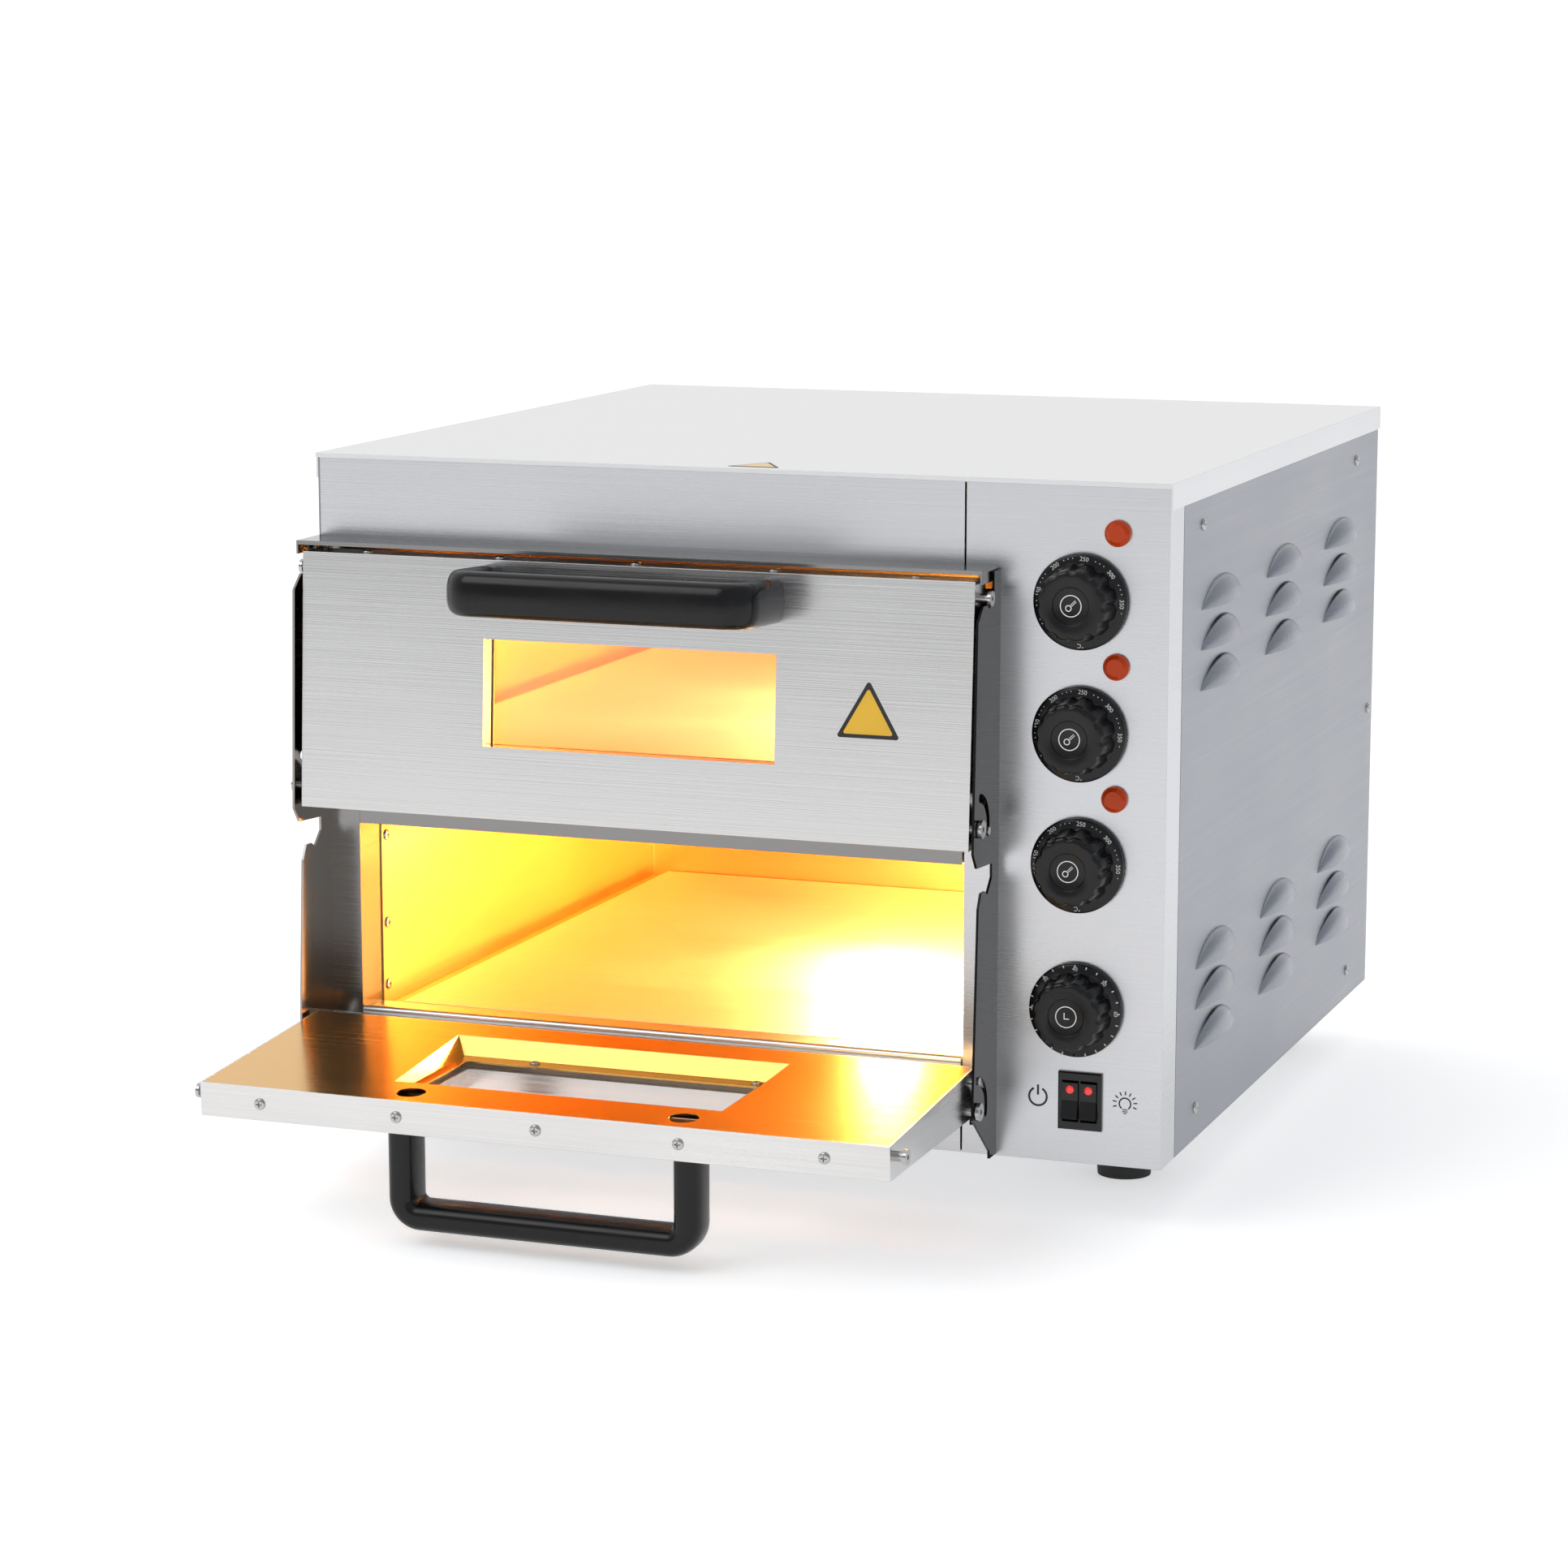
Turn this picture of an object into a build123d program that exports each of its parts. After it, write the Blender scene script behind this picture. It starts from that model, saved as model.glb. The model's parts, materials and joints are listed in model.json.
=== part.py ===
"""Countertop double-deck electric pizza oven, as separate sheet-metal and moving pieces.

Units are millimetres. +X is to the right seen from the front, +Y runs from the front to the
back, +Z is up. The upper door is modelled shut and the lower door is modelled open. The origin
lies on the counter, under the middle of the space that the oven takes with that door open.
"""
from math import atan2, cos, degrees, hypot, radians, sin

import os

from build123d import *

os.makedirs("parts", exist_ok=True)

# --------------------------------------------------------------------------- driving sizes
body_width = 560.0
body_depth = 565.0
body_height = 417.0
foot_height = 40.0

sheet = 1.2                  # casing sheet
liner_sheet = 1.0            # cavity sheet
bracket_sheet = 1.5          # hinge bracket plate
running_gap = 0.05           # radial clearance of a pin that turns in a hole
hole_gap = 0.3               # radial clearance of a hole that a screw or tube passes

# front layout, heights above the bottom of the casing
bay_width = 128.0            # control bay, from the casing's right side
seam = 1.2                   # shadow gap between fascia and control panel
bracket_inset = 5.0          # casing's left side to the left bracket's inner face
mouth_inset = 26.0           # casing's left side to the cavity mouth
sill_height = 54.0           # underside of the lower sill's nose
sill_nose = 6.0              # rolled nose on the sill
mouth_height = 120.0         # clear height of a mouth above the nose
deck_pitch = 173.5           # lower deck to upper deck
strip_depth = 42.0           # front strip of the cavity wall, from the casing's front
liner_start = 30.0           # cavity liner starts this far behind the front
cavity_depth = 500.0
floor_drop = 22.0            # cavity floor below the nose's top
deck_drop = 3.0              # deck plate's top below the nose's top

# visor over the doors
visor_rise = 137.0           # visor's top above the upper sill
visor_depth = 31.5
hem_drop = 2.6
tab_drop = 8.5

# doors
door_lap = 18.6              # door past the right end of the fascia
door_height = 161.0
door_side_gap = 3.0          # door edge to hinge bracket
door_drop = 30.0             # door's bottom edge below its sill
door_gap = 16.0              # casing front to the door's inner face
door_top_thickness = 21.0
door_bottom_thickness = 30.0
door_open_angle = 93.5
open_reach = 190.3           # how far the open lower door stands in front of the casing
gland_reach = 12.8           # how far the cable gland stands out at the back

# --------------------------------------------------------------------------- worked-out places
left, right = -body_width / 2, body_width / 2
front = -(body_depth + gland_reach - open_reach) / 2
back = front + body_depth
bottom, top = foot_height, foot_height + body_height
bay_left = right - bay_width
bracket_left = left + bracket_inset
door_left = bracket_left + door_side_gap
door_right = bay_left - seam / 2 + door_lap
door_width = door_right - door_left
door_middle = (door_left + door_right) / 2
bracket_right = door_right + door_side_gap
door_inner = front - door_gap
mouth_left = left + mouth_inset
panel_left = bay_left + seam / 2
fascia_right = bay_left - seam / 2
sills = {"lower": bottom + sill_height, "upper": bottom + sill_height + deck_pitch}
visor_top = sills["upper"] + visor_rise
mouth_top = sill_nose + mouth_height              # above the sill
screw_shank = 1.9
head_radius = 3.8
head_height = 1.6


def block(x0, x1, y0, y1, z0, z1, mode=Mode.ADD):
    """A box between two corners, joined to or cut from the open part."""
    with Locations(((x0 + x1) / 2, (y0 + y1) / 2, (z0 + z1) / 2)):
        Box(x1 - x0, y1 - y0, z1 - z0, mode=mode)


def rod_x(x0, x1, y, z, radius, mode=Mode.ADD):
    """A round rod along X."""
    with Locations(((x0 + x1) / 2, y, z)):
        Cylinder(radius, x1 - x0, rotation=(0, 90, 0), mode=mode)


def rod_y(x, y0, y1, z, radius, mode=Mode.ADD):
    """A round rod along Y."""
    with Locations((x, (y0 + y1) / 2, z)):
        Cylinder(radius, y1 - y0, rotation=(90, 0, 0), mode=mode)


def rod_z(x, y, z0, z1, radius, mode=Mode.ADD):
    """A round rod along Z."""
    with Locations((x, y, (z0 + z1) / 2)):
        Cylinder(radius, z1 - z0, mode=mode)


def save(solid, name):
    """Label a finished piece and write it as its own STEP file."""
    solid.label = name
    export_step(solid, f"parts/{name}.step")


# --------------------------------------------------------------------------- feet and base
foot_top_radius = 20.0
foot_bottom_radius = 17.0
foot_front_inset = 130.0
foot_side_inset = 60.0
stud_radius = 3.0
stud_height = 9.0
base_flange = 14.0
foot_places = [(x, y) for x in (left + foot_side_inset, right - foot_side_inset)
               for y in (front + foot_front_inset, back - foot_side_inset)]

with BuildPart() as rubber_feet:
    for foot_x, foot_y in foot_places:
        with Locations((foot_x, foot_y, 0)):
            Cone(foot_bottom_radius, foot_top_radius, foot_height,
                 align=(Align.CENTER, Align.CENTER, Align.MIN))
        rod_z(foot_x, foot_y, foot_height, foot_height + stud_height, stud_radius)
save(rubber_feet.part, "rubber_feet")

with BuildPart() as base_pan:
    block(left + 2 * sheet, right - 2 * sheet, front + sheet, back - 2 * sheet,
          bottom, bottom + sheet)
    for x0 in (left + 2 * sheet, right - 3 * sheet):
        block(x0, x0 + sheet, front + strip_depth, back - 2 * sheet, bottom, bottom + base_flange)
    block(left + 2 * sheet, right - 2 * sheet, back - 3 * sheet, back - 2 * sheet,
          bottom, bottom + base_flange)
    for foot_x, foot_y in foot_places:
        rod_z(foot_x, foot_y, bottom, bottom + sheet, stud_radius + hole_gap, Mode.SUBTRACT)
save(base_pan.part, "base_pan")

# --------------------------------------------------------------------------- top cover
skirt_drop = 15.7
front_lip = 3.0
with BuildPart() as top_cover:
    block(left, right, front - sheet, back, top - skirt_drop, top)
    block(left + sheet, right - sheet, front - sheet, back - sheet, top - skirt_drop, top - sheet,
          Mode.SUBTRACT)
    block(left, right, front - sheet, front, top - front_lip, top)
    block(left, right, front - sheet, front, top - skirt_drop, top - front_lip, Mode.SUBTRACT)
save(top_cover.part, "top_cover")

# --------------------------------------------------------------------------- side panels
louvre_length = 98.0
louvre_height = 17.0
louvre_bulge = 7.0
louvre_columns = (125.0, 289.0, 452.0)                   # centres, from the front
louvre_rows = (341.0, 316.0, 291.0, 117.0, 91.5, 66.0)   # centres, above the casing's bottom
side_screws = ((76.0, 385.0), (495.0, 385.0), (550.0, 202.0), (500.0, 20.0), (80.0, 20.0))
side_front = 31.6                                 # control panel's fold along the right side
side_face = right - sheet                         # outer face of the right side panel


def louvre_hood(length, height, bulge):
    """Half of a lens-shaped hood, straight and open along its lower edge."""
    radius = (length ** 2 / 4 + height ** 2) / (2 * height)
    with BuildPart() as hood:
        with BuildSketch(Plane(origin=(0, 0, 0), x_dir=(0, 1, 0), z_dir=(1, 0, 0))):
            with Locations((0, height - radius)):
                Circle(radius)
            with Locations((0, -radius)):
                Rectangle(3 * radius, 2 * radius, mode=Mode.SUBTRACT)
        revolve(axis=Axis.Y, revolution_arc=90)
    return scale(hood.part, by=(bulge / height, 1, 1))


hood_outer = louvre_hood(louvre_length, louvre_height, louvre_bulge)
hood_inner = louvre_hood(louvre_length - 6 * sheet, louvre_height - sheet, louvre_bulge - sheet)
louvre_places = [(front + column, bottom + row - louvre_height / 2)
                 for column in louvre_columns for row in louvre_rows]

with BuildPart() as right_side_panel:
    block(side_face - sheet, side_face, front + side_front, back - 2 * sheet, bottom, top - sheet)
    for y_mid, z_low in louvre_places:
        with Locations((side_face, y_mid, z_low)):
            add(hood_outer)
    for y_mid, z_low in louvre_places:
        with Locations((side_face, y_mid, z_low)):
            add(hood_inner, mode=Mode.SUBTRACT)
        block(side_face - sheet, side_face, y_mid - louvre_length / 3, y_mid + louvre_length / 3,
              z_low, z_low + louvre_height / 2, Mode.SUBTRACT)
    for y_in, z_up in side_screws:
        rod_x(side_face - sheet, side_face, front + y_in, bottom + z_up, screw_shank, Mode.SUBTRACT)
save(right_side_panel.part, "right_side_panel")

with BuildPart() as left_side_panel:
    block(left + sheet, left + 2 * sheet, front, back - 2 * sheet, bottom, top - sheet)
    for y_in, z_up in side_screws:
        rod_x(left + sheet, left + 2 * sheet, front + y_in, bottom + z_up, screw_shank,
              Mode.SUBTRACT)
save(left_side_panel.part, "left_side_panel")

# --------------------------------------------------------------------------- rear panel and gland
gland_x, gland_z = right - 70.0, bottom + 48.0
gland_radius = 8.0
gland_bore = 4.5
vent_length, vent_width, vent_pitch = 46.0, 5.0, 16.0
rear_face = back - sheet
with BuildPart() as rear_panel:
    block(left + sheet, right - sheet, rear_face - sheet, rear_face, bottom, top - sheet)
    rod_y(gland_x, rear_face - sheet, rear_face, gland_z, gland_radius, Mode.SUBTRACT)
    with BuildSketch(Plane(origin=(0, rear_face, bottom + 330), x_dir=(1, 0, 0), z_dir=(0, 1, 0))):
        with GridLocations(vent_length + 20, vent_pitch, 6, 3):
            SlotOverall(vent_length, vent_width)
    extrude(amount=-sheet, mode=Mode.SUBTRACT)
save(rear_panel.part, "rear_panel")

gland_flange = 3.5
with BuildPart() as cable_gland:
    rod_y(gland_x, rear_face - 14, back + gland_reach, gland_z, gland_radius)
    gland_face = Plane(origin=(gland_x, rear_face, gland_z), x_dir=(1, 0, 0), z_dir=(0, 1, 0))
    with BuildSketch(gland_face):
        RegularPolygon(gland_radius + gland_flange, 6)
    extrude(amount=7)
    with BuildSketch(gland_face.offset(-sheet)):
        RegularPolygon(gland_radius + gland_flange, 6)
    extrude(amount=-5)
    rod_y(gland_x, rear_face - 15, back + gland_reach + 1, gland_z, gland_bore, Mode.SUBTRACT)
save(cable_gland.part, "cable_gland")

# --------------------------------------------------------------------------- front casing
controls_x = right - 55.0
thermostats = {"top": bottom + 345.0, "middle": bottom + 265.0, "bottom": bottom + 185.0}
timer_z = bottom + 96.0
lamp_x, lamp_rise = controls_x + 22.0, 41.5
lamp_radius, lamp_neck = 8.0, 6.0
spindle_radius, bush_radius = 3.0, 5.0
switch_x, switch_z = controls_x + 3.0, bottom + 39.0
switch_width, switch_height = 27.5, 36.0
switch_body_width, switch_body_height = 24.6, 31.0

tab_reach, tab_screw, tab_half = 16.0, 10.0, 12.0
tab_heights = (bottom + 30.0, sills["upper"] - 22.5, visor_top - 26.5)
tab_screw_xs = (bracket_left - bracket_sheet / 2 + tab_screw,
                bracket_right + bracket_sheet / 2 - tab_screw)
wall_screw_rises = (13.0, 54.0, 112.0)            # above each sill
wall_screw_y = front + 36.0


def front_screw_holes(x0, x1):
    """Holes in a front piece for the bracket screws and for the cavity wall screws."""
    for x in tab_screw_xs:
        for height in tab_heights:
            rod_y(x, front, front + sheet, height, screw_shank, Mode.SUBTRACT)
    for z in sills.values():
        for rise in wall_screw_rises:
            rod_x(x0, x1, wall_screw_y, z + rise, screw_shank, Mode.SUBTRACT)


with BuildPart() as top_fascia:
    block(left + 2 * sheet, fascia_right, front, front + sheet, sills["upper"] + mouth_top,
          top - sheet)
    block(mouth_left, fascia_right, front, front + strip_depth, sills["upper"] + mouth_top,
          sills["upper"] + mouth_top + sheet)
    block(left + 2 * sheet, fascia_right, front, front + 16, top - 2 * sheet, top - sheet)
save(top_fascia.part, "top_fascia")

with BuildPart() as control_panel:
    block(panel_left, right - sheet, front, front + sheet, bottom, top - sheet)
    block(side_face - sheet, side_face, front, front + side_front, bottom, top - sheet)
    block(panel_left, panel_left + sheet, front, front + strip_depth, bottom + sheet,
          top - 2 * sheet)
    for height in (*thermostats.values(), timer_z):
        rod_y(controls_x, front, front + sheet, height, bush_radius + hole_gap, Mode.SUBTRACT)
    for height in thermostats.values():
        rod_y(lamp_x, front, front + sheet, height + lamp_rise, lamp_neck + hole_gap, Mode.SUBTRACT)
    block(switch_x - switch_body_width / 2, switch_x + switch_body_width / 2, front, front + sheet,
          switch_z - switch_body_height / 2, switch_z + switch_body_height / 2, Mode.SUBTRACT)
    front_screw_holes(panel_left, panel_left + sheet)
save(control_panel.part, "control_panel")

nose_radius = sill_nose / 2


def sill(z):
    """The rolled nose of a sill and the strip that runs back from it to the deck plate."""
    rod_x(mouth_left, fascia_right, front + nose_radius, z + nose_radius, nose_radius)
    block(mouth_left, fascia_right, front + nose_radius, front + liner_start,
          z + nose_radius - sheet, z + nose_radius)


with BuildPart() as bottom_rail:
    block(left + 2 * sheet, fascia_right, front, front + sheet, bottom, sills["lower"] + sheet)
    sill(sills["lower"])
    front_screw_holes(mouth_left - sheet, mouth_left)
save(bottom_rail.part, "bottom_rail")

with BuildPart() as middle_rail:
    block(mouth_left, fascia_right, front, front + sheet, sills["lower"] + mouth_top,
          sills["upper"] + sheet)
    block(mouth_left, fascia_right, front, front + strip_depth, sills["lower"] + mouth_top,
          sills["lower"] + mouth_top + sheet)
    sill(sills["upper"])
    front_screw_holes(mouth_left - sheet, mouth_left)
save(middle_rail.part, "middle_rail")

with BuildPart() as left_front_post:
    block(left + 2 * sheet, mouth_left, front, front + sheet, sills["lower"] + sheet,
          sills["upper"] + mouth_top)
    block(mouth_left - sheet, mouth_left, front, front + strip_depth, sills["lower"] + sheet,
          sills["upper"] + mouth_top)
    front_screw_holes(mouth_left - sheet, mouth_left)
save(left_front_post.part, "left_front_post")

# --------------------------------------------------------------------------- visor
visor_left, visor_right = left + 0.6, door_right + 2.5
visor_front = front - visor_depth
with BuildPart() as visor:
    block(visor_left, visor_right, visor_front, front, visor_top - sheet, visor_top)
    block(visor_left, visor_right, visor_front, visor_front + 2 * sheet, visor_top - hem_drop,
          visor_top)
    for x0 in (visor_left, visor_right - sheet):
        block(x0, x0 + sheet, visor_front, front, visor_top - tab_drop, visor_top)
    block(bracket_left + 2, visor_right - sheet, front - sheet, front, visor_top - tab_drop,
          visor_top)
save(visor.part, "visor")

# --------------------------------------------------------------------------- door geometry
door_bottoms = {name: z - door_drop for name, z in sills.items()}
slope = (door_bottom_thickness - door_top_thickness) / door_height
lean = atan2(door_bottom_thickness - door_top_thickness, door_height)
pivot_y = door_inner - 24.0
pivot_rise = 13.0            # above the door's bottom edge
pivot_radius = 3.0
guide_y_in, guide_drop = 18.0, 4.0                # guide pin, behind and below the pivot
guide_reach = hypot(guide_y_in, guide_drop)
guide_angle = degrees(atan2(-guide_drop, guide_y_in))
guide_radius = 2.5
latch_y = door_inner - 9.0
latch_rise = 150.0
latch_radius = 3.0
latch_clear = 0.7            # between the latch pin and the hook it swings over
bracket_strip = 13.0         # how far the bracket's strip stands in front of the casing
slot_lead, slot_margin = 1.5, 3.0                 # degrees that the guide slot is longer
crown_slope = 9.0            # hook's front corner below its peak


def hinge_bracket(x0, tab_side):
    """One bracket: a strip, a hook for each door, pivot holes, guide slots and screw tabs."""
    plate = Plane(origin=(x0, 0, 0), x_dir=(0, 1, 0), z_dir=(1, 0, 0))
    peak = latch_rise - latch_radius - latch_clear
    feet = {"lower": [(0, -22.5), (-8.5, -22.2), (-47, 9), (-39, peak - crown_slope)],
            "upper": [(0, -13), (-13, -12.5), (-43, -10.5), (-50, -1),
                      (-44, peak - crown_slope)]}
    crown = [(-34, peak), (-27, peak), (-22, peak - 3), (-13, peak + 6), (0, peak + 6)]
    slot = guide_radius + hole_gap
    start, swing = guide_angle - slot_lead, door_open_angle + slot_margin
    with BuildPart() as bracket:
        for name, door_z in door_bottoms.items():
            with BuildSketch(plate):
                with BuildLine():
                    Polyline(*[(front + y, door_z + z) for y, z in feet[name] + crown], close=True)
                make_face()
            extrude(amount=bracket_sheet)
        block(x0, x0 + bracket_sheet, front - bracket_strip, front, bottom + 1,
              visor_top - 2 * sheet)
        for door_z in door_bottoms.values():
            pivot_z = door_z + pivot_rise
            rod_x(x0, x0 + bracket_sheet, pivot_y, pivot_z, pivot_radius + running_gap,
                  Mode.SUBTRACT)
            with BuildSketch(Plane(origin=(x0, pivot_y, pivot_z), x_dir=(0, 1, 0),
                                   z_dir=(1, 0, 0))):
                with BuildLine():
                    outer = CenterArc((0, 0), guide_reach + slot, start, swing)
                    inner = CenterArc((0, 0), guide_reach - slot, start, swing)
                    Line(outer @ 0, inner @ 0)
                    Line(outer @ 1, inner @ 1)
                make_face()
                with Locations((guide_reach * cos(radians(start)), guide_reach * sin(radians(start))),
                               (guide_reach * cos(radians(start + swing)),
                                guide_reach * sin(radians(start + swing)))):
                    Circle(slot)
            extrude(amount=bracket_sheet, mode=Mode.SUBTRACT)
        for height in tab_heights:
            x1, x2 = sorted((x0 + bracket_sheet / 2, x0 + bracket_sheet / 2 + tab_side * tab_reach))
            block(x1, x2, front - bracket_sheet, front, height - tab_half, height + tab_half)
            rod_y(x0 + bracket_sheet / 2 + tab_side * tab_screw, front - bracket_sheet, front,
                  height, screw_shank, Mode.SUBTRACT)
    return bracket.part


save(hinge_bracket(bracket_left - bracket_sheet, 1), "left_hinge_bracket")
save(hinge_bracket(bracket_right, -1), "right_hinge_bracket")

# --------------------------------------------------------------------------- cavities
liner_back = front + cavity_depth
liner_left, liner_right = mouth_left + liner_sheet, panel_left - liner_sheet
ledge_width = 12.0
element_radius = 3.25
element_hole = element_radius + hole_gap
element_first, element_last = front + 70.0, front + 430.0
element_left, element_right = liner_left + 26.0, liner_right - 26.0
terminal_x = panel_left + 34.0
element_low, element_high = 9.0, 12.0             # above the floor, below the ceiling
lens_radius, socket_radius = 24.0, 15.0
lens_rim, lens_depth, lens_taper = 3.0, 11.0, 22.0
socket_length, socket_cap_length, socket_cap_radius = 40.0, 8.0, 10.0
cavity_lamp_y, cavity_lamp_rise = front + 230.0, 66.0
ceiling_gap = 2.0            # cavity ceiling above the mouth's top
deck_sheet = 2.0
deck_gap = 2.0               # in front of and behind the deck plate
deck_left_gap, deck_right_gap = 0.5, 1.0
lead_notch_half, lead_notch_rise = 6.0, 5.0       # notch in the deck plate for an element's leads
element_bend = 22.0
element_heights = {}

for name, z in sills.items():
    floor, ceiling = z + sill_nose - floor_drop, z + mouth_top + ceiling_gap
    element_heights[name] = {"bottom": floor + element_low, "top": ceiling - element_high}
    with BuildPart() as liner:
        block(mouth_left, panel_left, front + liner_start, liner_back + liner_sheet,
              floor - liner_sheet, ceiling + liner_sheet)
        block(liner_left, liner_right, front + liner_start, liner_back, floor, ceiling,
              Mode.SUBTRACT)
        block(liner_left, liner_left + ledge_width, front + liner_start, liner_back,
              z - 2 * liner_sheet, z - liner_sheet)
        rod_x(liner_right, panel_left, cavity_lamp_y, z + cavity_lamp_rise,
              socket_radius + hole_gap, Mode.SUBTRACT)
        for height in element_heights[name].values():
            for y in (element_first, element_last):
                rod_x(liner_right, panel_left, y, height, element_hole, Mode.SUBTRACT)
        block(mouth_left, panel_left, front + liner_start, front + strip_depth,
              z + mouth_top, ceiling + liner_sheet, Mode.SUBTRACT)
        for rise in wall_screw_rises:
            rod_x(mouth_left, liner_left, wall_screw_y, z + rise, screw_shank, Mode.SUBTRACT)
            rod_x(liner_right, panel_left, wall_screw_y, z + rise, screw_shank, Mode.SUBTRACT)
    save(liner.part, f"{name}_cavity_liner")

    deck_top = z + sill_nose - deck_drop
    deck_left = liner_left + ledge_width + deck_left_gap
    deck_right = liner_right - deck_right_gap
    deck_front, deck_back = front + liner_start + deck_gap, liner_back - deck_gap
    with BuildPart() as deck_plate:
        block(deck_left, deck_right, deck_front, deck_back, floor, deck_top)
        block(deck_left + deck_sheet, deck_right - deck_sheet, deck_front + deck_sheet,
              deck_back - deck_sheet, floor, deck_top - deck_sheet, Mode.SUBTRACT)
        for y in (element_first, element_last):
            block(deck_right - deck_sheet, deck_right, y - lead_notch_half, y + lead_notch_half,
                  floor, element_heights[name]["bottom"] + lead_notch_rise, Mode.SUBTRACT)
    save(deck_plate.part, f"{name}_deck_plate")

    runs = [element_first + i * (element_last - element_first) / 3 for i in range(4)]
    for place, height in element_heights[name].items():
        path = [(terminal_x, runs[0], height), (element_left, runs[0], height),
                (element_left, runs[1], height), (element_right, runs[1], height),
                (element_right, runs[2], height), (element_left, runs[2], height),
                (element_left, runs[3], height), (terminal_x, runs[3], height)]
        with BuildPart() as element:
            with BuildLine():
                FilletPolyline(*path, radius=element_bend)
            with BuildSketch(Plane(origin=path[0], z_dir=(-1, 0, 0))):
                Circle(element_radius)
            sweep()
        save(element.part, f"{name}_{place}_element")

with BuildPart() as lamp_lenses:
    for z in sills.values():
        lens_face = Plane(origin=(liner_right, cavity_lamp_y, z + cavity_lamp_rise),
                          x_dir=(0, 1, 0), z_dir=(-1, 0, 0))
        with BuildSketch(lens_face):
            Circle(lens_radius)
        extrude(amount=lens_rim)
        with BuildSketch(lens_face.offset(lens_rim)):
            Circle(lens_radius - lens_rim)
        extrude(amount=lens_depth, taper=lens_taper)
save(lamp_lenses.part, "cavity_lamp_lenses")

with BuildPart() as lamp_sockets:
    for z in sills.values():
        socket_end = panel_left + socket_length
        rod_x(liner_right, socket_end, cavity_lamp_y, z + cavity_lamp_rise, socket_radius)
        rod_x(socket_end, socket_end + socket_cap_length, cavity_lamp_y, z + cavity_lamp_rise,
              socket_cap_radius)
save(lamp_sockets.part, "cavity_lamp_sockets")

# --------------------------------------------------------------------------- divider, insulation
divider_x = panel_left + 12.0
divider_gap = 2.0            # front strip to the divider, and to the insulation
wool_gap = 1.0
with BuildPart() as bay_divider:
    block(divider_x, divider_x + sheet, front + strip_depth + divider_gap, back - 3 * sheet,
          bottom + base_flange, top - 2 * sheet)
    for name, z in sills.items():
        rod_x(divider_x, divider_x + sheet, cavity_lamp_y, z + cavity_lamp_rise,
              socket_radius + 1, Mode.SUBTRACT)
        for height in element_heights[name].values():
            for y in (element_first, element_last):
                rod_x(divider_x, divider_x + sheet, y, height, element_hole + 1, Mode.SUBTRACT)
save(bay_divider.part, "bay_divider")

lower_roof = sills["lower"] + mouth_top + ceiling_gap + liner_sheet
upper_base = sills["upper"] + sill_nose - floor_drop - liner_sheet
upper_roof = sills["upper"] + mouth_top + ceiling_gap + liner_sheet
wool_front = front + strip_depth + divider_gap
wool_top = top - 2 * sheet - wool_gap
wool_pads = {
    "insulation_middle": (mouth_left, panel_left, wool_front, liner_back, lower_roof, upper_base),
    "insulation_top": (mouth_left, panel_left, wool_front, liner_back, upper_roof, wool_top),
    "insulation_rear": (mouth_left, divider_x - wool_gap, liner_back + liner_sheet,
                        back - 3 * sheet - wool_gap, bottom + base_flange, wool_top),
}
for name, corners in wool_pads.items():
    with BuildPart() as pad:
        block(*corners)
    save(pad.part, name)

# --------------------------------------------------------------------------- doors
window_width, window_height, window_rise = 193.0, 67.0, 45.0
reveal = 12.0                # depth of the window's folded reveal
glass_thickness = 4.0
glass_lap = 6.0
recess_width, recess_height = 221.0, 103.0
recess_narrowing = 5.0       # per side, at the bottom of the recess
recess_flare_depth = 9.0     # depth over which it narrows by that much
recess_cut = 14.0            # past the inner face, trimmed off afterwards
cut_margin = 2.0             # how far a cutting solid passes the sheet it cuts
handle_rise = 144.0
handle_length, handle_height, handle_reach = 202.0, 28.0, 62.0
handle_leg, handle_bar = 21.0, 18.0
handle_corner = 20.0
handle_round = 7.0
handle_pitch = 176.0
handle_hole = 9.0            # access holes in the inner panel
handle_screw_depth = 25.0
edge_screw_pitch, edge_screw_count = 90.5, 5
edge_socket_radius, edge_socket_depth = 1.1, 1.0
handle_head = 3.0
flush_head = 0.1             # a guide pin has hardly any head
pin_heads = {                # reach past the bracket, head radius and length, hex socket radius
    "pivot": (0.5, 5.5, 2.4, 1.6),
    "guide": (1.0, flush_head, flush_head, 0.0),
    "latch": (0.5, 4.6, 2.2, 1.4),
}
pin_socket_depth = 1.2
latch_roller_reach = 0.5     # roller past the bracket
hem = 8.0
window_middle = window_rise + window_height / 2


def outer_plane(door_z, rise, inward=0.0):
    """A plane parallel to the door's leaning outer face, its Z axis pointing outwards."""
    return Plane(origin=(door_middle, door_inner - door_bottom_thickness + slope * rise,
                         door_z + rise),
                 x_dir=(1, 0, 0), z_dir=(0, -cos(lean), sin(lean))).offset(-inward)


def door_wedge(door_z, inset, mode=Mode.ADD):
    """The door's wedge, made smaller by inset on every side but the inner one."""
    shift = inset / cos(lean)
    z0, z1 = inset, door_height - inset
    y0 = door_inner - door_bottom_thickness + slope * z0 + shift
    y1 = door_inner - door_bottom_thickness + slope * z1 + shift
    side = Plane(origin=(door_left + inset, 0, 0), x_dir=(0, 1, 0), z_dir=(1, 0, 0))
    with BuildSketch(side) as profile:
        with BuildLine():
            Polyline((door_inner, door_z + z0), (y0, door_z + z0), (y1, door_z + z1),
                     (door_inner, door_z + z1), close=True)
        make_face()
    extrude(profile.sketch, amount=door_width - 2 * inset, mode=mode)


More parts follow.
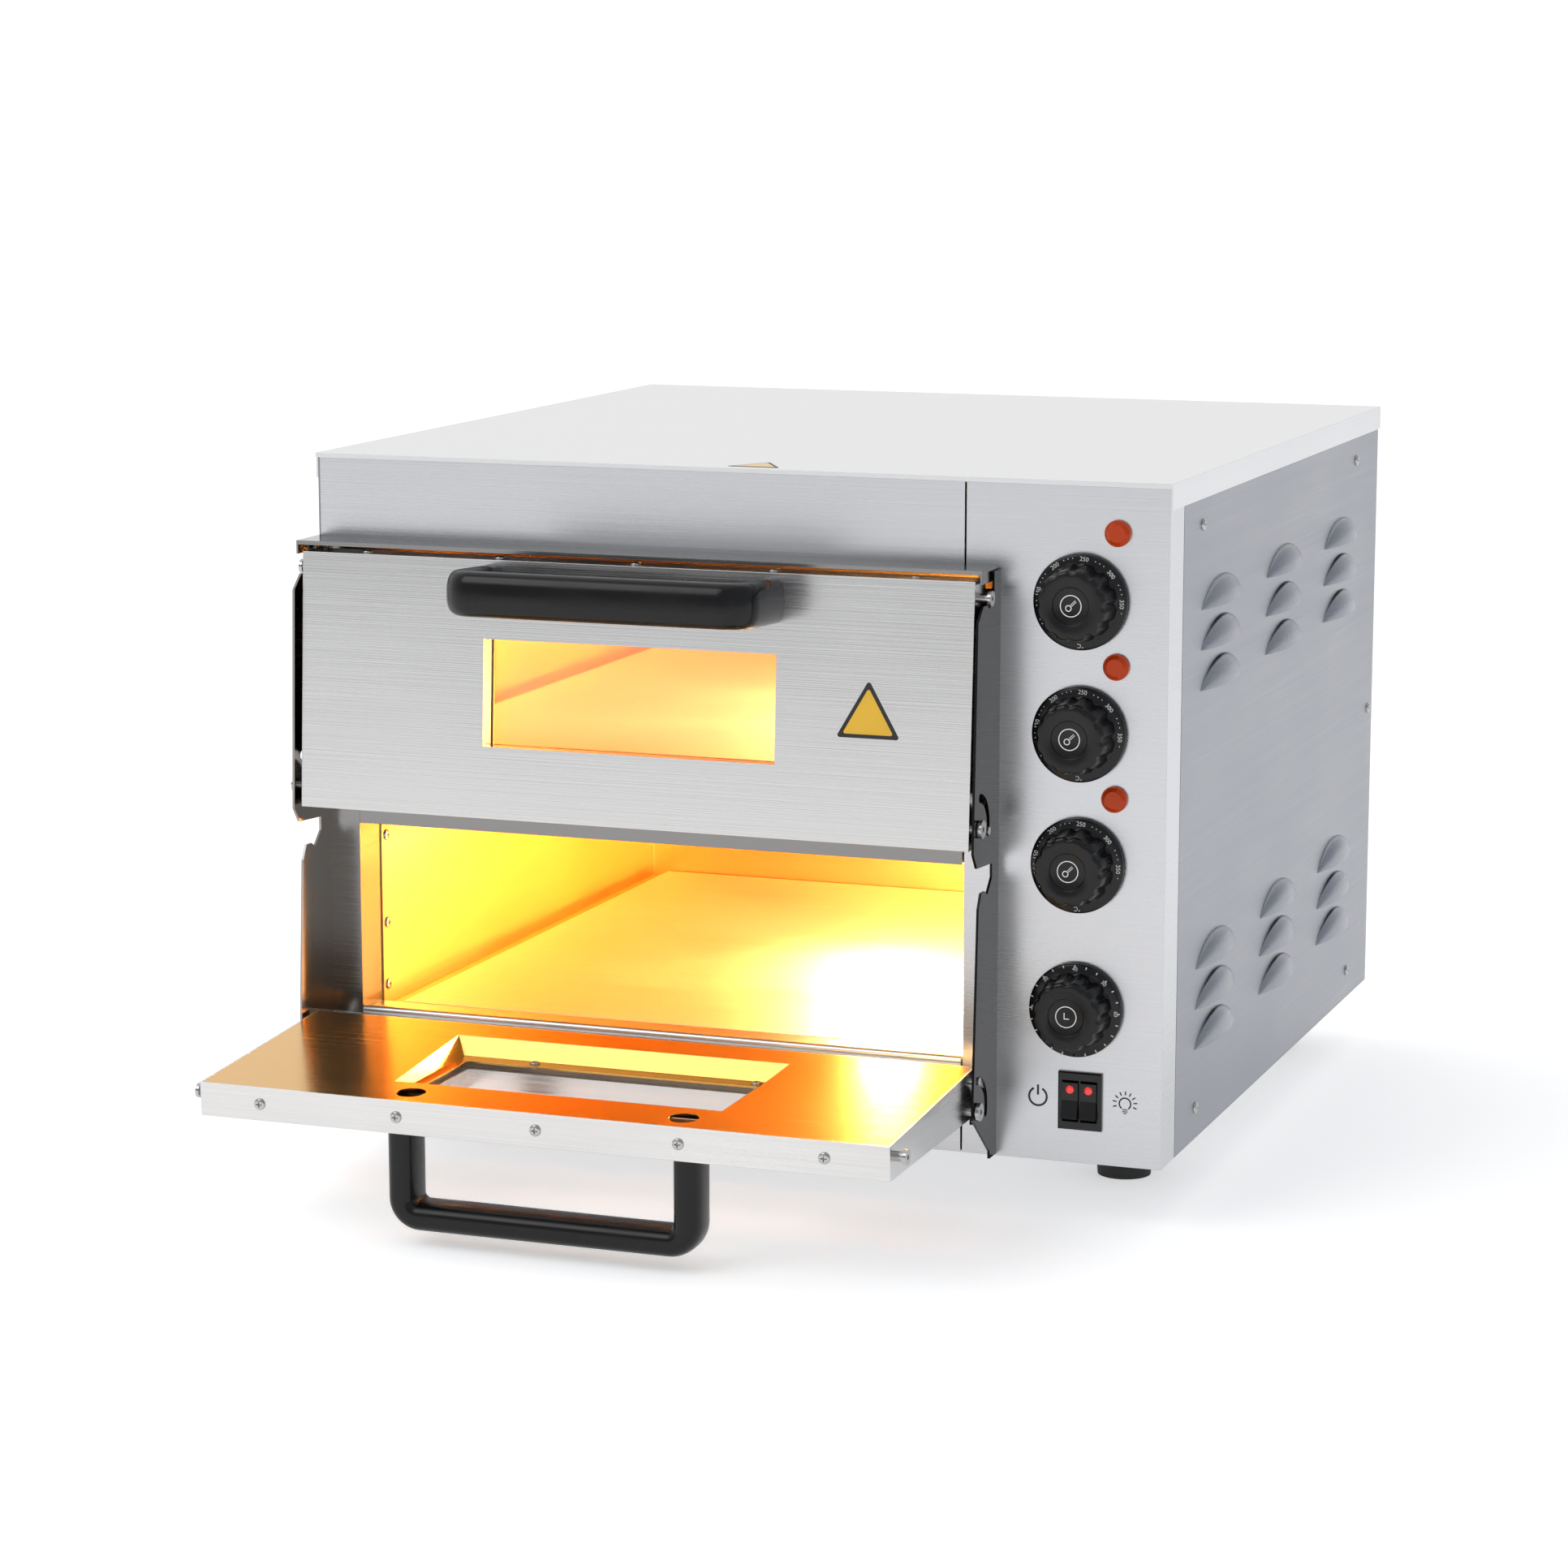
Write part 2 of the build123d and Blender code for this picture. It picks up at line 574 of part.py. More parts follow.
def pin_places(door_z):
    """Y, Z and shank radius of the pivot, guide and latch pins of one door."""
    pivot_z = door_z + pivot_rise
    return {"pivot": (pivot_y, pivot_z, pivot_radius),
            "guide": (pivot_y + guide_y_in, pivot_z - guide_drop, guide_radius),
            "latch": (latch_y, door_z + latch_rise, screw_shank)}


def door_skin(door_z):
    """The folded outer skin: leaning front with window reveal, and four sides."""
    with BuildPart() as skin:
        door_wedge(door_z, 0)
        door_wedge(door_z, sheet, Mode.SUBTRACT)
        with BuildSketch(outer_plane(door_z, window_middle, sheet / 2)):
            Rectangle(window_width + 2 * sheet, window_height + 2 * sheet)
        extrude(amount=sheet / 2 - reveal)
        with BuildSketch(outer_plane(door_z, window_middle, -cut_margin / 2)):
            Rectangle(window_width, window_height)
        extrude(amount=-reveal - cut_margin, mode=Mode.SUBTRACT)
        with BuildSketch(outer_plane(door_z, handle_rise, -cut_margin / 2)):
            with GridLocations(handle_pitch, 1, 2, 1):
                Circle(screw_shank + hole_gap)
        extrude(amount=-sheet - cut_margin, mode=Mode.SUBTRACT)
        for y, z, radius in pin_places(door_z).values():
            rod_x(door_left, door_left + sheet, y, z, radius, Mode.SUBTRACT)
            rod_x(door_right - sheet, door_right, y, z, radius, Mode.SUBTRACT)
        with Locations((door_middle, door_inner - door_top_thickness / 2, door_z + door_height)):
            with GridLocations(edge_screw_pitch, 1, edge_screw_count, 1):
                Cylinder(screw_shank, 4 * sheet, mode=Mode.SUBTRACT)
    return skin.part


def inner_panel(door_z):
    """The inner panel: flat, with folded edges and the pressed recess that holds the glass."""
    ledge = outer_plane(door_z, window_middle, reveal + glass_thickness)
    base_width = recess_width - 2 * recess_narrowing
    base_height = recess_height - 2 * recess_narrowing
    flare = degrees(atan2(recess_narrowing, recess_flare_depth))
    with BuildPart() as panel:
        block(door_left + sheet, door_right - sheet, door_inner - sheet, door_inner,
              door_z + sheet, door_z + door_height - sheet)
        for z0 in (door_z + sheet, door_z + door_height - 2 * sheet):
            block(door_left + sheet, door_right - sheet, door_inner - hem, door_inner, z0,
                  z0 + sheet)
        with BuildSketch(ledge):
            Rectangle(base_width, base_height)
        extrude(amount=-recess_cut, taper=-flare)
        with BuildSketch(ledge.offset(-sheet)):
            Rectangle(base_width - 2 * sheet, base_height - 2 * sheet)
        extrude(amount=-recess_cut, taper=-flare, mode=Mode.SUBTRACT)
        with BuildSketch(ledge.offset(cut_margin / 2)):
            Rectangle(window_width, window_height)
        extrude(amount=-2 * cut_margin, mode=Mode.SUBTRACT)
        block(door_left, door_right, door_inner, door_inner + door_top_thickness, door_z,
              door_z + door_height,
              Mode.SUBTRACT)
        for side in (-1, 1):
            rod_y(door_middle + side * handle_pitch / 2, door_inner - 2 * sheet, door_inner,
                  door_z + handle_rise, handle_hole, Mode.SUBTRACT)
        with Locations((door_middle, door_inner - door_top_thickness / 2, door_z + door_height)):
            with GridLocations(edge_screw_pitch, 1, edge_screw_count, 1):
                Cylinder(screw_shank, 6 * sheet, mode=Mode.SUBTRACT)
    return panel.part


def window_glass(door_z):
    """The pane between the skin's reveal and the inner panel's recess."""
    with BuildPart() as glass:
        with BuildSketch(outer_plane(door_z, window_middle, reveal)):
            Rectangle(window_width + 2 * glass_lap, window_height + 2 * glass_lap)
        extrude(amount=-glass_thickness)
    return glass.part


def door_handle(door_z):
    """The moulded D handle with blind screw holes in its two legs."""
    face = outer_plane(door_z, handle_rise)
    side = Plane(origin=face.origin, x_dir=(1, 0, 0), z_dir=(0, -sin(lean), -cos(lean)))
    gap = handle_length / 2 - handle_leg
    with BuildPart() as handle:
        with BuildSketch(side):
            with Locations((0, handle_reach / 2)):
                Rectangle(handle_length, handle_reach)
            fillet(vertices().group_by(Axis.Y)[-1], handle_corner)
            with Locations((0, (handle_reach - handle_bar) / 2)):
                Rectangle(2 * gap, handle_reach - handle_bar, mode=Mode.SUBTRACT)
        extrude(amount=handle_height / 2, both=True)
        outer_arcs = handle.edges().filter_by(GeomType.CIRCLE)
        fillet(outer_arcs, handle_round)
        with BuildSketch(face):
            with GridLocations(handle_pitch, 1, 2, 1):
                Circle(screw_shank)
        extrude(amount=handle_screw_depth, mode=Mode.SUBTRACT)
    return handle.part


def handle_screws(door_z):
    """Two screws from inside the door, through the skin into the handle's legs."""
    inside = outer_plane(door_z, handle_rise, sheet)
    with BuildPart() as screws:
        for radius, start, length in ((screw_shank, 0, sheet + handle_screw_depth - 1),
                                      (head_radius, 0, -handle_head)):
            with BuildSketch(inside.offset(start)):
                with GridLocations(handle_pitch, 1, 2, 1):
                    Circle(radius)
            extrude(amount=length)
    return screws.part


def edge_screw_row(door_z):
    """Five button-head screws along the door's free edge."""
    edge_z = door_z + door_height
    with BuildPart() as screws:
        with Locations((door_middle, door_inner - door_top_thickness / 2, 0)):
            with GridLocations(edge_screw_pitch, 1, edge_screw_count, 1):
                with Locations((0, 0, edge_z)):
                    Cone(head_radius, head_radius - 1, head_height,
                         align=(Align.CENTER, Align.CENTER, Align.MIN))
                with Locations((0, 0, edge_z - 3 * sheet)):
                    Cylinder(screw_shank, 3 * sheet,
                             align=(Align.CENTER, Align.CENTER, Align.MIN))
                with Locations((0, 0, edge_z + head_height)):
                    Cylinder(edge_socket_radius, edge_socket_depth, mode=Mode.SUBTRACT)
    return screws.part


def side_pins(door_z, kind):
    """A headed pin of one kind through each side of the door."""
    y, z, radius = pin_places(door_z)[kind]
    past, head, head_length, socket = pin_heads[kind]
    reach = door_side_gap + bracket_sheet + past
    with BuildPart() as pins:
        for edge, way in ((door_left, -1), (door_right, 1)):
            ends = sorted((edge - way * 3 * sheet, edge + way * reach))
            rod_x(*ends, y, z, radius)
            cap = sorted((edge + way * reach, edge + way * (reach + head_length)))
            rod_x(*cap, y, z, head)
            if socket:
                dip = sorted((edge + way * (reach + head_length - pin_socket_depth),
                              edge + way * (reach + head_length)))
                rod_x(*dip, y, z, socket, Mode.SUBTRACT)
            if kind == "latch":
                roller_reach = door_side_gap + bracket_sheet + latch_roller_reach
                roller = sorted((edge, edge + way * roller_reach))
                rod_x(*roller, y, z, latch_radius)
    return pins.part


for name, door_z in door_bottoms.items():
    pivot_axis = Axis((0, pivot_y, door_z + pivot_rise), (1, 0, 0))
    pieces = {
        "door_skin": door_skin(door_z),
        "door_inner_panel": inner_panel(door_z),
        "door_glass": window_glass(door_z),
        "door_handle": door_handle(door_z),
        "door_handle_screws": handle_screws(door_z),
        "door_edge_screws": edge_screw_row(door_z),
        "door_pivot_pins": side_pins(door_z, "pivot"),
        "door_guide_pins": side_pins(door_z, "guide"),
        "door_latch_pins": side_pins(door_z, "latch"),
    }
    for piece, solid in pieces.items():
        placed = solid.rotate(pivot_axis, door_open_angle) if name == "lower" else solid
        save(placed, f"{name}_{piece}")

# --------------------------------------------------------------------------- control knobs
skirt_radius, skirt_depth = 29.0, 4.5
knob_gap = 1.0               # panel to the back of the skirt
cap_radius, cap_front_radius, knob_depth = 23.5, 21.0, 25.0
scallops, scallop_radius = 12, 3.4
dish_radius, dish_depth = 11.25, 1.5
spindle_length = 14.0
bush_depth = 16.0
bush_back, bush_lap = 0.4, 0.5                   # bush before the panel, and into the control
skirt_chamfer = 1.6
scallop_offset = 1.2         # scallop centres outside the cap
thermostat_body = (36.0, 30.0)                   # width and depth
timer_body = (46.0, 38.0)


def knob(height):
    """A knob: dial skirt, scalloped cap with a dished end, and its spindle."""
    face = Plane(origin=(controls_x, front - knob_gap, height), x_dir=(1, 0, 0), z_dir=(0, -1, 0))
    cap_length = knob_depth - knob_gap - skirt_depth
    with BuildPart() as turned:
        with BuildSketch(face):
            Circle(skirt_radius)
        extrude(amount=skirt_depth)
        chamfer(turned.edges().filter_by(GeomType.CIRCLE).group_by(Axis.Y)[0], skirt_chamfer)
        taper = degrees(atan2(cap_radius - cap_front_radius, cap_length))
        with BuildSketch(face.offset(skirt_depth)):
            Circle(cap_radius)
            with PolarLocations(cap_radius + scallop_offset, scallops):
                Circle(scallop_radius, mode=Mode.SUBTRACT)
        extrude(amount=cap_length, taper=taper)
        with BuildSketch(face.offset(skirt_depth + cap_length)):
            Circle(dish_radius)
        extrude(amount=-dish_depth, mode=Mode.SUBTRACT)
        with BuildSketch(face):
            Circle(spindle_radius)
        extrude(amount=-spindle_length)
    return turned.part


knobs = {f"{place}_thermostat": height for place, height in thermostats.items()}
knobs["timer"] = timer_z
for name, height in knobs.items():
    save(knob(height), f"{name}_knob")


def control_body(heights, width, depth):
    """Boxed control behind the panel, with a bush that passes the panel and a spindle bore."""
    with BuildPart() as bodies:
        for height in heights:
            rod_y(controls_x, front - bush_back, front + sheet + bush_lap, height, bush_radius)
            block(controls_x - width / 2, controls_x + width / 2, front + sheet,
                  front + sheet + depth, height - width / 2, height + width / 2)
            rod_y(controls_x, front - 2 * bush_lap, front + bush_depth, height,
                  spindle_radius + running_gap, Mode.SUBTRACT)
    return bodies.part


save(control_body(thermostats.values(), *thermostat_body), "thermostat_bodies")
save(control_body([timer_z], *timer_body), "timer_body")

lamp_rim, lamp_step, lamp_dome, lamp_taper = 2.0, 0.8, 2.6, 38.0
lamp_tail = 22.0
with BuildPart() as signal_lamps:
    for height in thermostats.values():
        lamp_face = Plane(origin=(lamp_x, front, height + lamp_rise), x_dir=(1, 0, 0),
                          z_dir=(0, -1, 0))
        with BuildSketch(lamp_face):
            Circle(lamp_radius)
        extrude(amount=lamp_rim)
        with BuildSketch(lamp_face.offset(lamp_rim)):
            Circle(lamp_radius - lamp_step)
        extrude(amount=lamp_dome, taper=lamp_taper)
        with BuildSketch(lamp_face):
            Circle(lamp_neck)
        extrude(amount=-lamp_tail)
save(signal_lamps.part, "signal_lamps")

# --------------------------------------------------------------------------- switch
rocker_width, rocker_radius = 10.0, 12.4
rocker_pitch = 11.6
rocker_pivot_y = front + 1.0
rocker_tilt = 7.0            # each way from level
rocker_edge, rocker_waist = 6.2, 4.6              # front of the rocker ahead of its pivot
rocker_back = 6.0
stub_radius, stub_length = 1.5, 0.6
pocket_gap = 0.5
flange_depth = 2.5
switch_depth = 26.0
flange_chamfer = 0.8
rocker_xs = (switch_x - rocker_pitch / 2, switch_x + rocker_pitch / 2)

with BuildPart() as switch_housing:
    block(switch_x - switch_width / 2, switch_x + switch_width / 2, front - flange_depth, front,
          switch_z - switch_height / 2, switch_z + switch_height / 2)
    chamfer(switch_housing.faces().sort_by(Axis.Y)[0].edges(), flange_chamfer)
    block(switch_x - switch_body_width / 2 + hole_gap, switch_x + switch_body_width / 2 - hole_gap,
          front, front + switch_depth, switch_z - switch_body_height / 2 + hole_gap,
          switch_z + switch_body_height / 2 - hole_gap)
    for x in rocker_xs:
        half = rocker_width / 2 + pocket_gap / 2
        rod_x(x - half, x + half, rocker_pivot_y, switch_z, rocker_radius + pocket_gap,
              Mode.SUBTRACT)
        block(x - half, x + half, front - flange_depth, rocker_pivot_y,
              switch_z - rocker_radius - pocket_gap, switch_z + rocker_radius + pocket_gap,
              Mode.SUBTRACT)
        rod_x(x - half - stub_length, x + half + stub_length, rocker_pivot_y, switch_z,
              stub_radius + running_gap, Mode.SUBTRACT)
save(switch_housing.part, "switch_housing")


def rocker(x):
    """One rocker with a shallow V front, round ends and two pivot stubs, upper end pressed in."""
    with BuildPart() as paddle:
        side = Plane(origin=(x - rocker_width / 2, rocker_pivot_y, switch_z), x_dir=(0, 1, 0),
                     z_dir=(1, 0, 0))
        with BuildSketch(side):
            Circle(rocker_radius)
            with BuildLine():
                Polyline((-rocker_edge, rocker_radius), (-rocker_waist, 0),
                         (-rocker_edge, -rocker_radius), (rocker_back, -rocker_radius),
                         (rocker_back, rocker_radius), close=True)
            make_face(mode=Mode.INTERSECT)
        extrude(amount=rocker_width)
        rod_x(x - rocker_width / 2 - stub_length, x + rocker_width / 2 + stub_length,
              rocker_pivot_y, switch_z, stub_radius)
    return paddle.part.rotate(Axis((x, rocker_pivot_y, switch_z), (1, 0, 0)), -rocker_tilt)


save(rocker(rocker_xs[0]), "left_rocker")
save(rocker(rocker_xs[1]), "right_rocker")

# --------------------------------------------------------------------------- casing screws
with BuildPart() as casing_screws:
    for face, way in ((left + sheet, -1), (side_face, 1)):
        for y_in, z_up in side_screws:
            shank = sorted((face - way * 4 * sheet, face))
            head = sorted((face, face + way * head_height))
            rod_x(*shank, front + y_in, bottom + z_up, screw_shank)
            rod_x(*head, front + y_in, bottom + z_up, head_radius)
save(casing_screws.part, "casing_screws")

with BuildPart() as liner_screws:
    for z in sills.values():
        for rise in wall_screw_rises:
            rod_x(mouth_left - 2 * sheet, liner_left, wall_screw_y, z + rise, screw_shank)
            rod_x(liner_left, liner_left + head_height, wall_screw_y, z + rise, head_radius)
            rod_x(liner_right, panel_left + 2 * sheet, wall_screw_y, z + rise, screw_shank)
            rod_x(liner_right - head_height, liner_right, wall_screw_y, z + rise, head_radius)
save(liner_screws.part, "liner_screws")

with BuildPart() as bracket_screws:
    for x in tab_screw_xs:
        for height in tab_heights:
            rod_y(x, front - bracket_sheet, front + 3 * sheet, height, screw_shank)
            rod_y(x, front - bracket_sheet - head_height, front - bracket_sheet, height,
                  head_radius)
save(bracket_screws.part, "bracket_screws")
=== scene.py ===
"""Countertop double-deck pizza oven: finishes, printed marks and detailed pieces round the frame."""
from __future__ import annotations

import json
import logging
import math
from dataclasses import dataclass, field
from enum import Enum

import bmesh
import bpy
from mathutils import Matrix, Vector

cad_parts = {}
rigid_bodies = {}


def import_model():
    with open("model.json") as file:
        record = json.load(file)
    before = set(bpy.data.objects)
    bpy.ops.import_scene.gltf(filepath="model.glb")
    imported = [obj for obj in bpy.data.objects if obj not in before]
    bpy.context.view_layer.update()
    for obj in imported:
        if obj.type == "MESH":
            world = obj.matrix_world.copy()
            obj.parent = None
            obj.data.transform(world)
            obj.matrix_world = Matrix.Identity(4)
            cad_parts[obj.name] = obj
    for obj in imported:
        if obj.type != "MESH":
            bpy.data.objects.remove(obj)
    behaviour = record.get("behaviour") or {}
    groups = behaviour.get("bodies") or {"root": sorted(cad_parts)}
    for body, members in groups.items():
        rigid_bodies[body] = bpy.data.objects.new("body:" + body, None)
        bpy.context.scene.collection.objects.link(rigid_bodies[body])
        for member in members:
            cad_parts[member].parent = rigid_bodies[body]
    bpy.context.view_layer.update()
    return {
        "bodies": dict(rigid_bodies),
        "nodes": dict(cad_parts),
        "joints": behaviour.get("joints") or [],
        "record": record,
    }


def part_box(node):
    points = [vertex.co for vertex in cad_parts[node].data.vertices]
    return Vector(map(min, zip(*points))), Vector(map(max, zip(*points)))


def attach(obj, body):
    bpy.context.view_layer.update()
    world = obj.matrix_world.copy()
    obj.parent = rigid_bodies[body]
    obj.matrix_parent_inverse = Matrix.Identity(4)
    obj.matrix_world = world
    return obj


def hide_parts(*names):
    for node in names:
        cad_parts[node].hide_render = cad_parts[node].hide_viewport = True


LOG = logging.getLogger("oven")
MM = 0.001
FRONTWARD = Vector((0, -1, 0))
PRINT_LIFT = 0.02 * MM
PRINT_DEPTH = 0.05 * MM
DISH_DEPTH = 0.06 * MM
Point = tuple[float, float, float]
Outline = list[tuple[float, float]]
FRAME: dict = {}


class Grain(Enum):
    """How the brushing of a sheet runs; the scale of its noise along X, Y and Z."""

    HORIZONTAL = (5.0, 5.0, 1500.0)
    CROSSWISE = (5.0, 1500.0, 5.0)
    UPRIGHT = (1500.0, 1500.0, 5.0)


class Facing(Enum):
    """Outward directions of fastener heads."""

    LEFT = (-1.0, 0.0, 0.0)
    RIGHT = (1.0, 0.0, 0.0)
    FRONT = (0.0, -1.0, 0.0)


def joint_place(name: str) -> Vector:
    """Where a joint of the frame lies."""
    return Vector(next(joint["pos_m"] for joint in FRAME["joints"] if joint["name"] == name))


class Shader:
    """A small builder round one material's node tree."""

    def __init__(self, name: str) -> None:
        """Start an empty material.

        Args:
            name: Name of the material.
        """
        self.material = bpy.data.materials.new(name)
        self.material.use_nodes = True
        self.tree = self.material.node_tree
        self.surface = self.tree.nodes["Principled BSDF"]
        self.coords = self.tree.nodes.new("ShaderNodeTexCoord")

    def add(self, kind: str, **settings: object) -> bpy.types.Node:
        """Add a node and set its properties.

        Args:
            kind: Blender's name for the kind of node.
            settings: Properties to set on it.

        Returns:
            The node.
        """
        node = self.tree.nodes.new(kind)
        for key, value in settings.items():
            setattr(node, key, value)
        return node

    def link(self, source: bpy.types.NodeSocket, target: bpy.types.NodeSocket) -> None:
        """Join two sockets."""
        self.tree.links.new(source, target)

    def put(self, socket: str, value: object) -> None:
        """Set a value on the surface shader."""
        self.surface.inputs[socket].default_value = value

    def glow(self, colour: Point, strength: float) -> None:
        """Let the surface give off light."""
        self.put("Emission Color", (*colour, 1.0))
        self.put("Emission Strength", strength)

    def noise(self, scale: Point, detail: float, size: float = 1.0) -> bpy.types.NodeSocket:
        """Noise over object coordinates.

        Args:
            scale: Stretch of the coordinates along X, Y and Z.
            detail: Octaves of the noise.
            size: Overall scale of the noise.

        Returns:
            The socket that carries the noise, from 0 to 1.
        """
        mapping = self.add("ShaderNodeMapping")
        mapping.inputs["Scale"].default_value = scale
        texture = self.add("ShaderNodeTexNoise")
        texture.inputs["Scale"].default_value = size
        texture.inputs["Detail"].default_value = detail
        self.link(self.coords.outputs["Object"], mapping.inputs["Vector"])
        self.link(mapping.outputs["Vector"], texture.inputs["Vector"])
        return texture.outputs["Fac"]

    def remap(self, value: bpy.types.NodeSocket, low: float, high: float,
              start: float = 0.3, end: float = 0.7) -> bpy.types.NodeSocket:
        """Map a 0 to 1 value onto another range.

        Args:
            value: The socket that carries the value.
            low: Result at the start.
            high: Result at the end.
            start: Value that gives the first result.
            end: Value that gives the last result.

        Returns:
            The socket that carries the result.
        """
        node = self.add("ShaderNodeMapRange")
        for key, number in (("From Min", start), ("From Max", end), ("To Min", low), ("To Max", high)):
            node.inputs[key].default_value = number
        self.link(value, node.inputs["Value"])
        return node.outputs["Result"]

    def tint(self, value: bpy.types.NodeSocket, dark: Point, light: Point) -> bpy.types.NodeSocket:
        """Blend two colours by a value.

        Args:
            value: The socket that carries the value.
            dark: Colour at 0.
            light: Colour at 1.

        Returns:
            The socket that carries the colour.
        """
        node = self.add("ShaderNodeMix", data_type="RGBA")
        node.inputs[6].default_value = (*dark, 1.0)
        node.inputs[7].default_value = (*light, 1.0)
        self.link(value, node.inputs[0])
        return node.outputs[2]

    def relief(self, height: bpy.types.NodeSocket, strength: float, distance: float,
               edge: float) -> None:
        """Bump the surface and round its edges.

        Args:
            height: Height of the bump.
            strength: Strength of the bump.
            distance: Depth of the bump in metres.
            edge: Radius of the rounded edges in metres.
        """
        bump = self.add("ShaderNodeBump")
        bump.inputs["Strength"].default_value = strength
        bump.inputs["Distance"].default_value = distance
        self.link(height, bump.inputs["Height"])
        if edge > 0:
            rounding = self.add("ShaderNodeBevel", samples=4)
            rounding.inputs["Radius"].default_value = edge
            self.link(rounding.outputs["Normal"], bump.inputs["Normal"])
        self.link(bump.outputs["Normal"], self.surface.inputs["Normal"])


@dataclass(frozen=True)
class Steel:
    """Brushed or polished sheet metal."""

    name: str
    colour: Point
    roughness: float = 0.3
    grain: Grain = Grain.HORIZONTAL
    strength: float = 0.12
    spread: float = 0.08
    cloud: float = 0.05
    edge: float = 0.5 * MM
    grain_share: float = 0.6
    groove: float = 0.2 * MM
    cloud_scale: Point = (7.0, 7.0, 11.0)
    level_from: float = 0.68
    level_to: float = 0.74

    def brushing(self, shader: Shader) -> bpy.types.NodeSocket:
        """Grain that turns on level faces, so that it always runs along the sheet.

        Args:
            shader: The material's builder.

        Returns:
            The socket that carries the grain, from 0 to 1.
        """
        grain = shader.noise(self.grain.value, 3.0)
        if self.grain is Grain.UPRIGHT:
            return grain
        flat = shader.noise(Grain.CROSSWISE.value, 3.0)
        split = shader.add("ShaderNodeSeparateXYZ")
        shader.link(shader.coords.outputs["Normal"], split.inputs[0])
        size = shader.add("ShaderNodeMath", operation="ABSOLUTE")
        shader.link(split.outputs["Z"], size.inputs[0])
        choose = shader.add("ShaderNodeMix", data_type="FLOAT")
        step = shader.remap(size.outputs[0], 0.0, 1.0, self.level_from, self.level_to)
        shader.link(step, choose.inputs[0])
        shader.link(grain, choose.inputs[2])
        shader.link(flat, choose.inputs[3])
        return choose.outputs[0]

    def build(self) -> bpy.types.Material:
        """Return the finished material.

        Returns:
            The material.
        """
        shader = Shader(self.name)
        grain = self.brushing(shader)
        cloud = shader.noise(self.cloud_scale, 4.0)
        dark = tuple(c * (1 - 1.2 * self.cloud) for c in self.colour)
        light = tuple(min(1.0, c * (1 + self.cloud)) for c in self.colour)
        mixed = shader.add("ShaderNodeMath", operation="MULTIPLY_ADD")
        mixed.inputs[1].default_value = self.grain_share
        shader.link(grain, mixed.inputs[0])
        part = shader.add("ShaderNodeMath", operation="MULTIPLY")
        part.inputs[1].default_value = 1.0 - self.grain_share
        shader.link(cloud, part.inputs[0])
        shader.link(part.outputs[0], mixed.inputs[2])
        factor = shader.remap(mixed.outputs[0], 0.0, 1.0, 0.32, 0.68)
        shader.link(shader.tint(factor, dark, light), shader.surface.inputs["Base Color"])
        rough = shader.remap(mixed.outputs[0], self.roughness - self.spread,
                             self.roughness + self.spread)
        shader.link(rough, shader.surface.inputs["Roughness"])
        shader.put("Metallic", 1.0)
        shader.relief(grain, self.strength, self.groove, self.edge)
        return shader.material


@dataclass(frozen=True)
class Moulding:
    """Moulded plastic, rubber, ceramic or wool, with a fine texture."""

    name: str
    colour: Point
    roughness: float = 0.4
    texture: float = 900.0
    strength: float = 0.15
    clear: float = 0.0
    glow: float = 0.0
    gloss: float = 0.5
    blotch: float = 35.0
    pit: float = 0.1 * MM
    edge: float = 0.3 * MM

    def build(self) -> bpy.types.Material:
        """Return the finished material.

        Returns:
            The material.
        """
        shader = Shader(self.name)
        fine = shader.noise((1, 1, 1), 3.0, self.texture)
        broad = shader.noise((1, 1, 1), 3.0, self.blotch)
        dark = tuple(c * 0.82 for c in self.colour)
        light = tuple(min(1.0, c * 1.15) for c in self.colour)
        shader.link(shader.tint(broad, dark, light), shader.surface.inputs["Base Color"])
        shader.link(shader.remap(broad, self.roughness - 0.06, self.roughness + 0.08),
                    shader.surface.inputs["Roughness"])
        shader.put("Coat Weight", self.clear)
        shader.put("Coat Roughness", 0.12)
        shader.put("Specular IOR Level", self.gloss)
        if self.glow > 0:
            shader.glow(self.colour, self.glow)
        shader.relief(fine, self.strength, self.pit, self.edge)
        return shader.material


@dataclass(frozen=True)
class Pane:
    """Clear glass with faint smears."""

    name: str
    colour: Point
    alpha: float = 0.2
    glow: float = 0.0

    def build(self) -> bpy.types.Material:
        """Return the finished material.

        Returns:
            The material.
        """
        shader = Shader(self.name)
        smear = shader.noise((1, 1, 1), 4.0, 22.0)
        shader.put("Base Color", (*self.colour, 1.0))
        shader.link(shader.remap(smear, 0.02, 0.10), shader.surface.inputs["Roughness"])
        shader.put("Alpha", self.alpha)
        if self.glow > 0:
            shader.glow(self.colour, self.glow)
        return shader.material


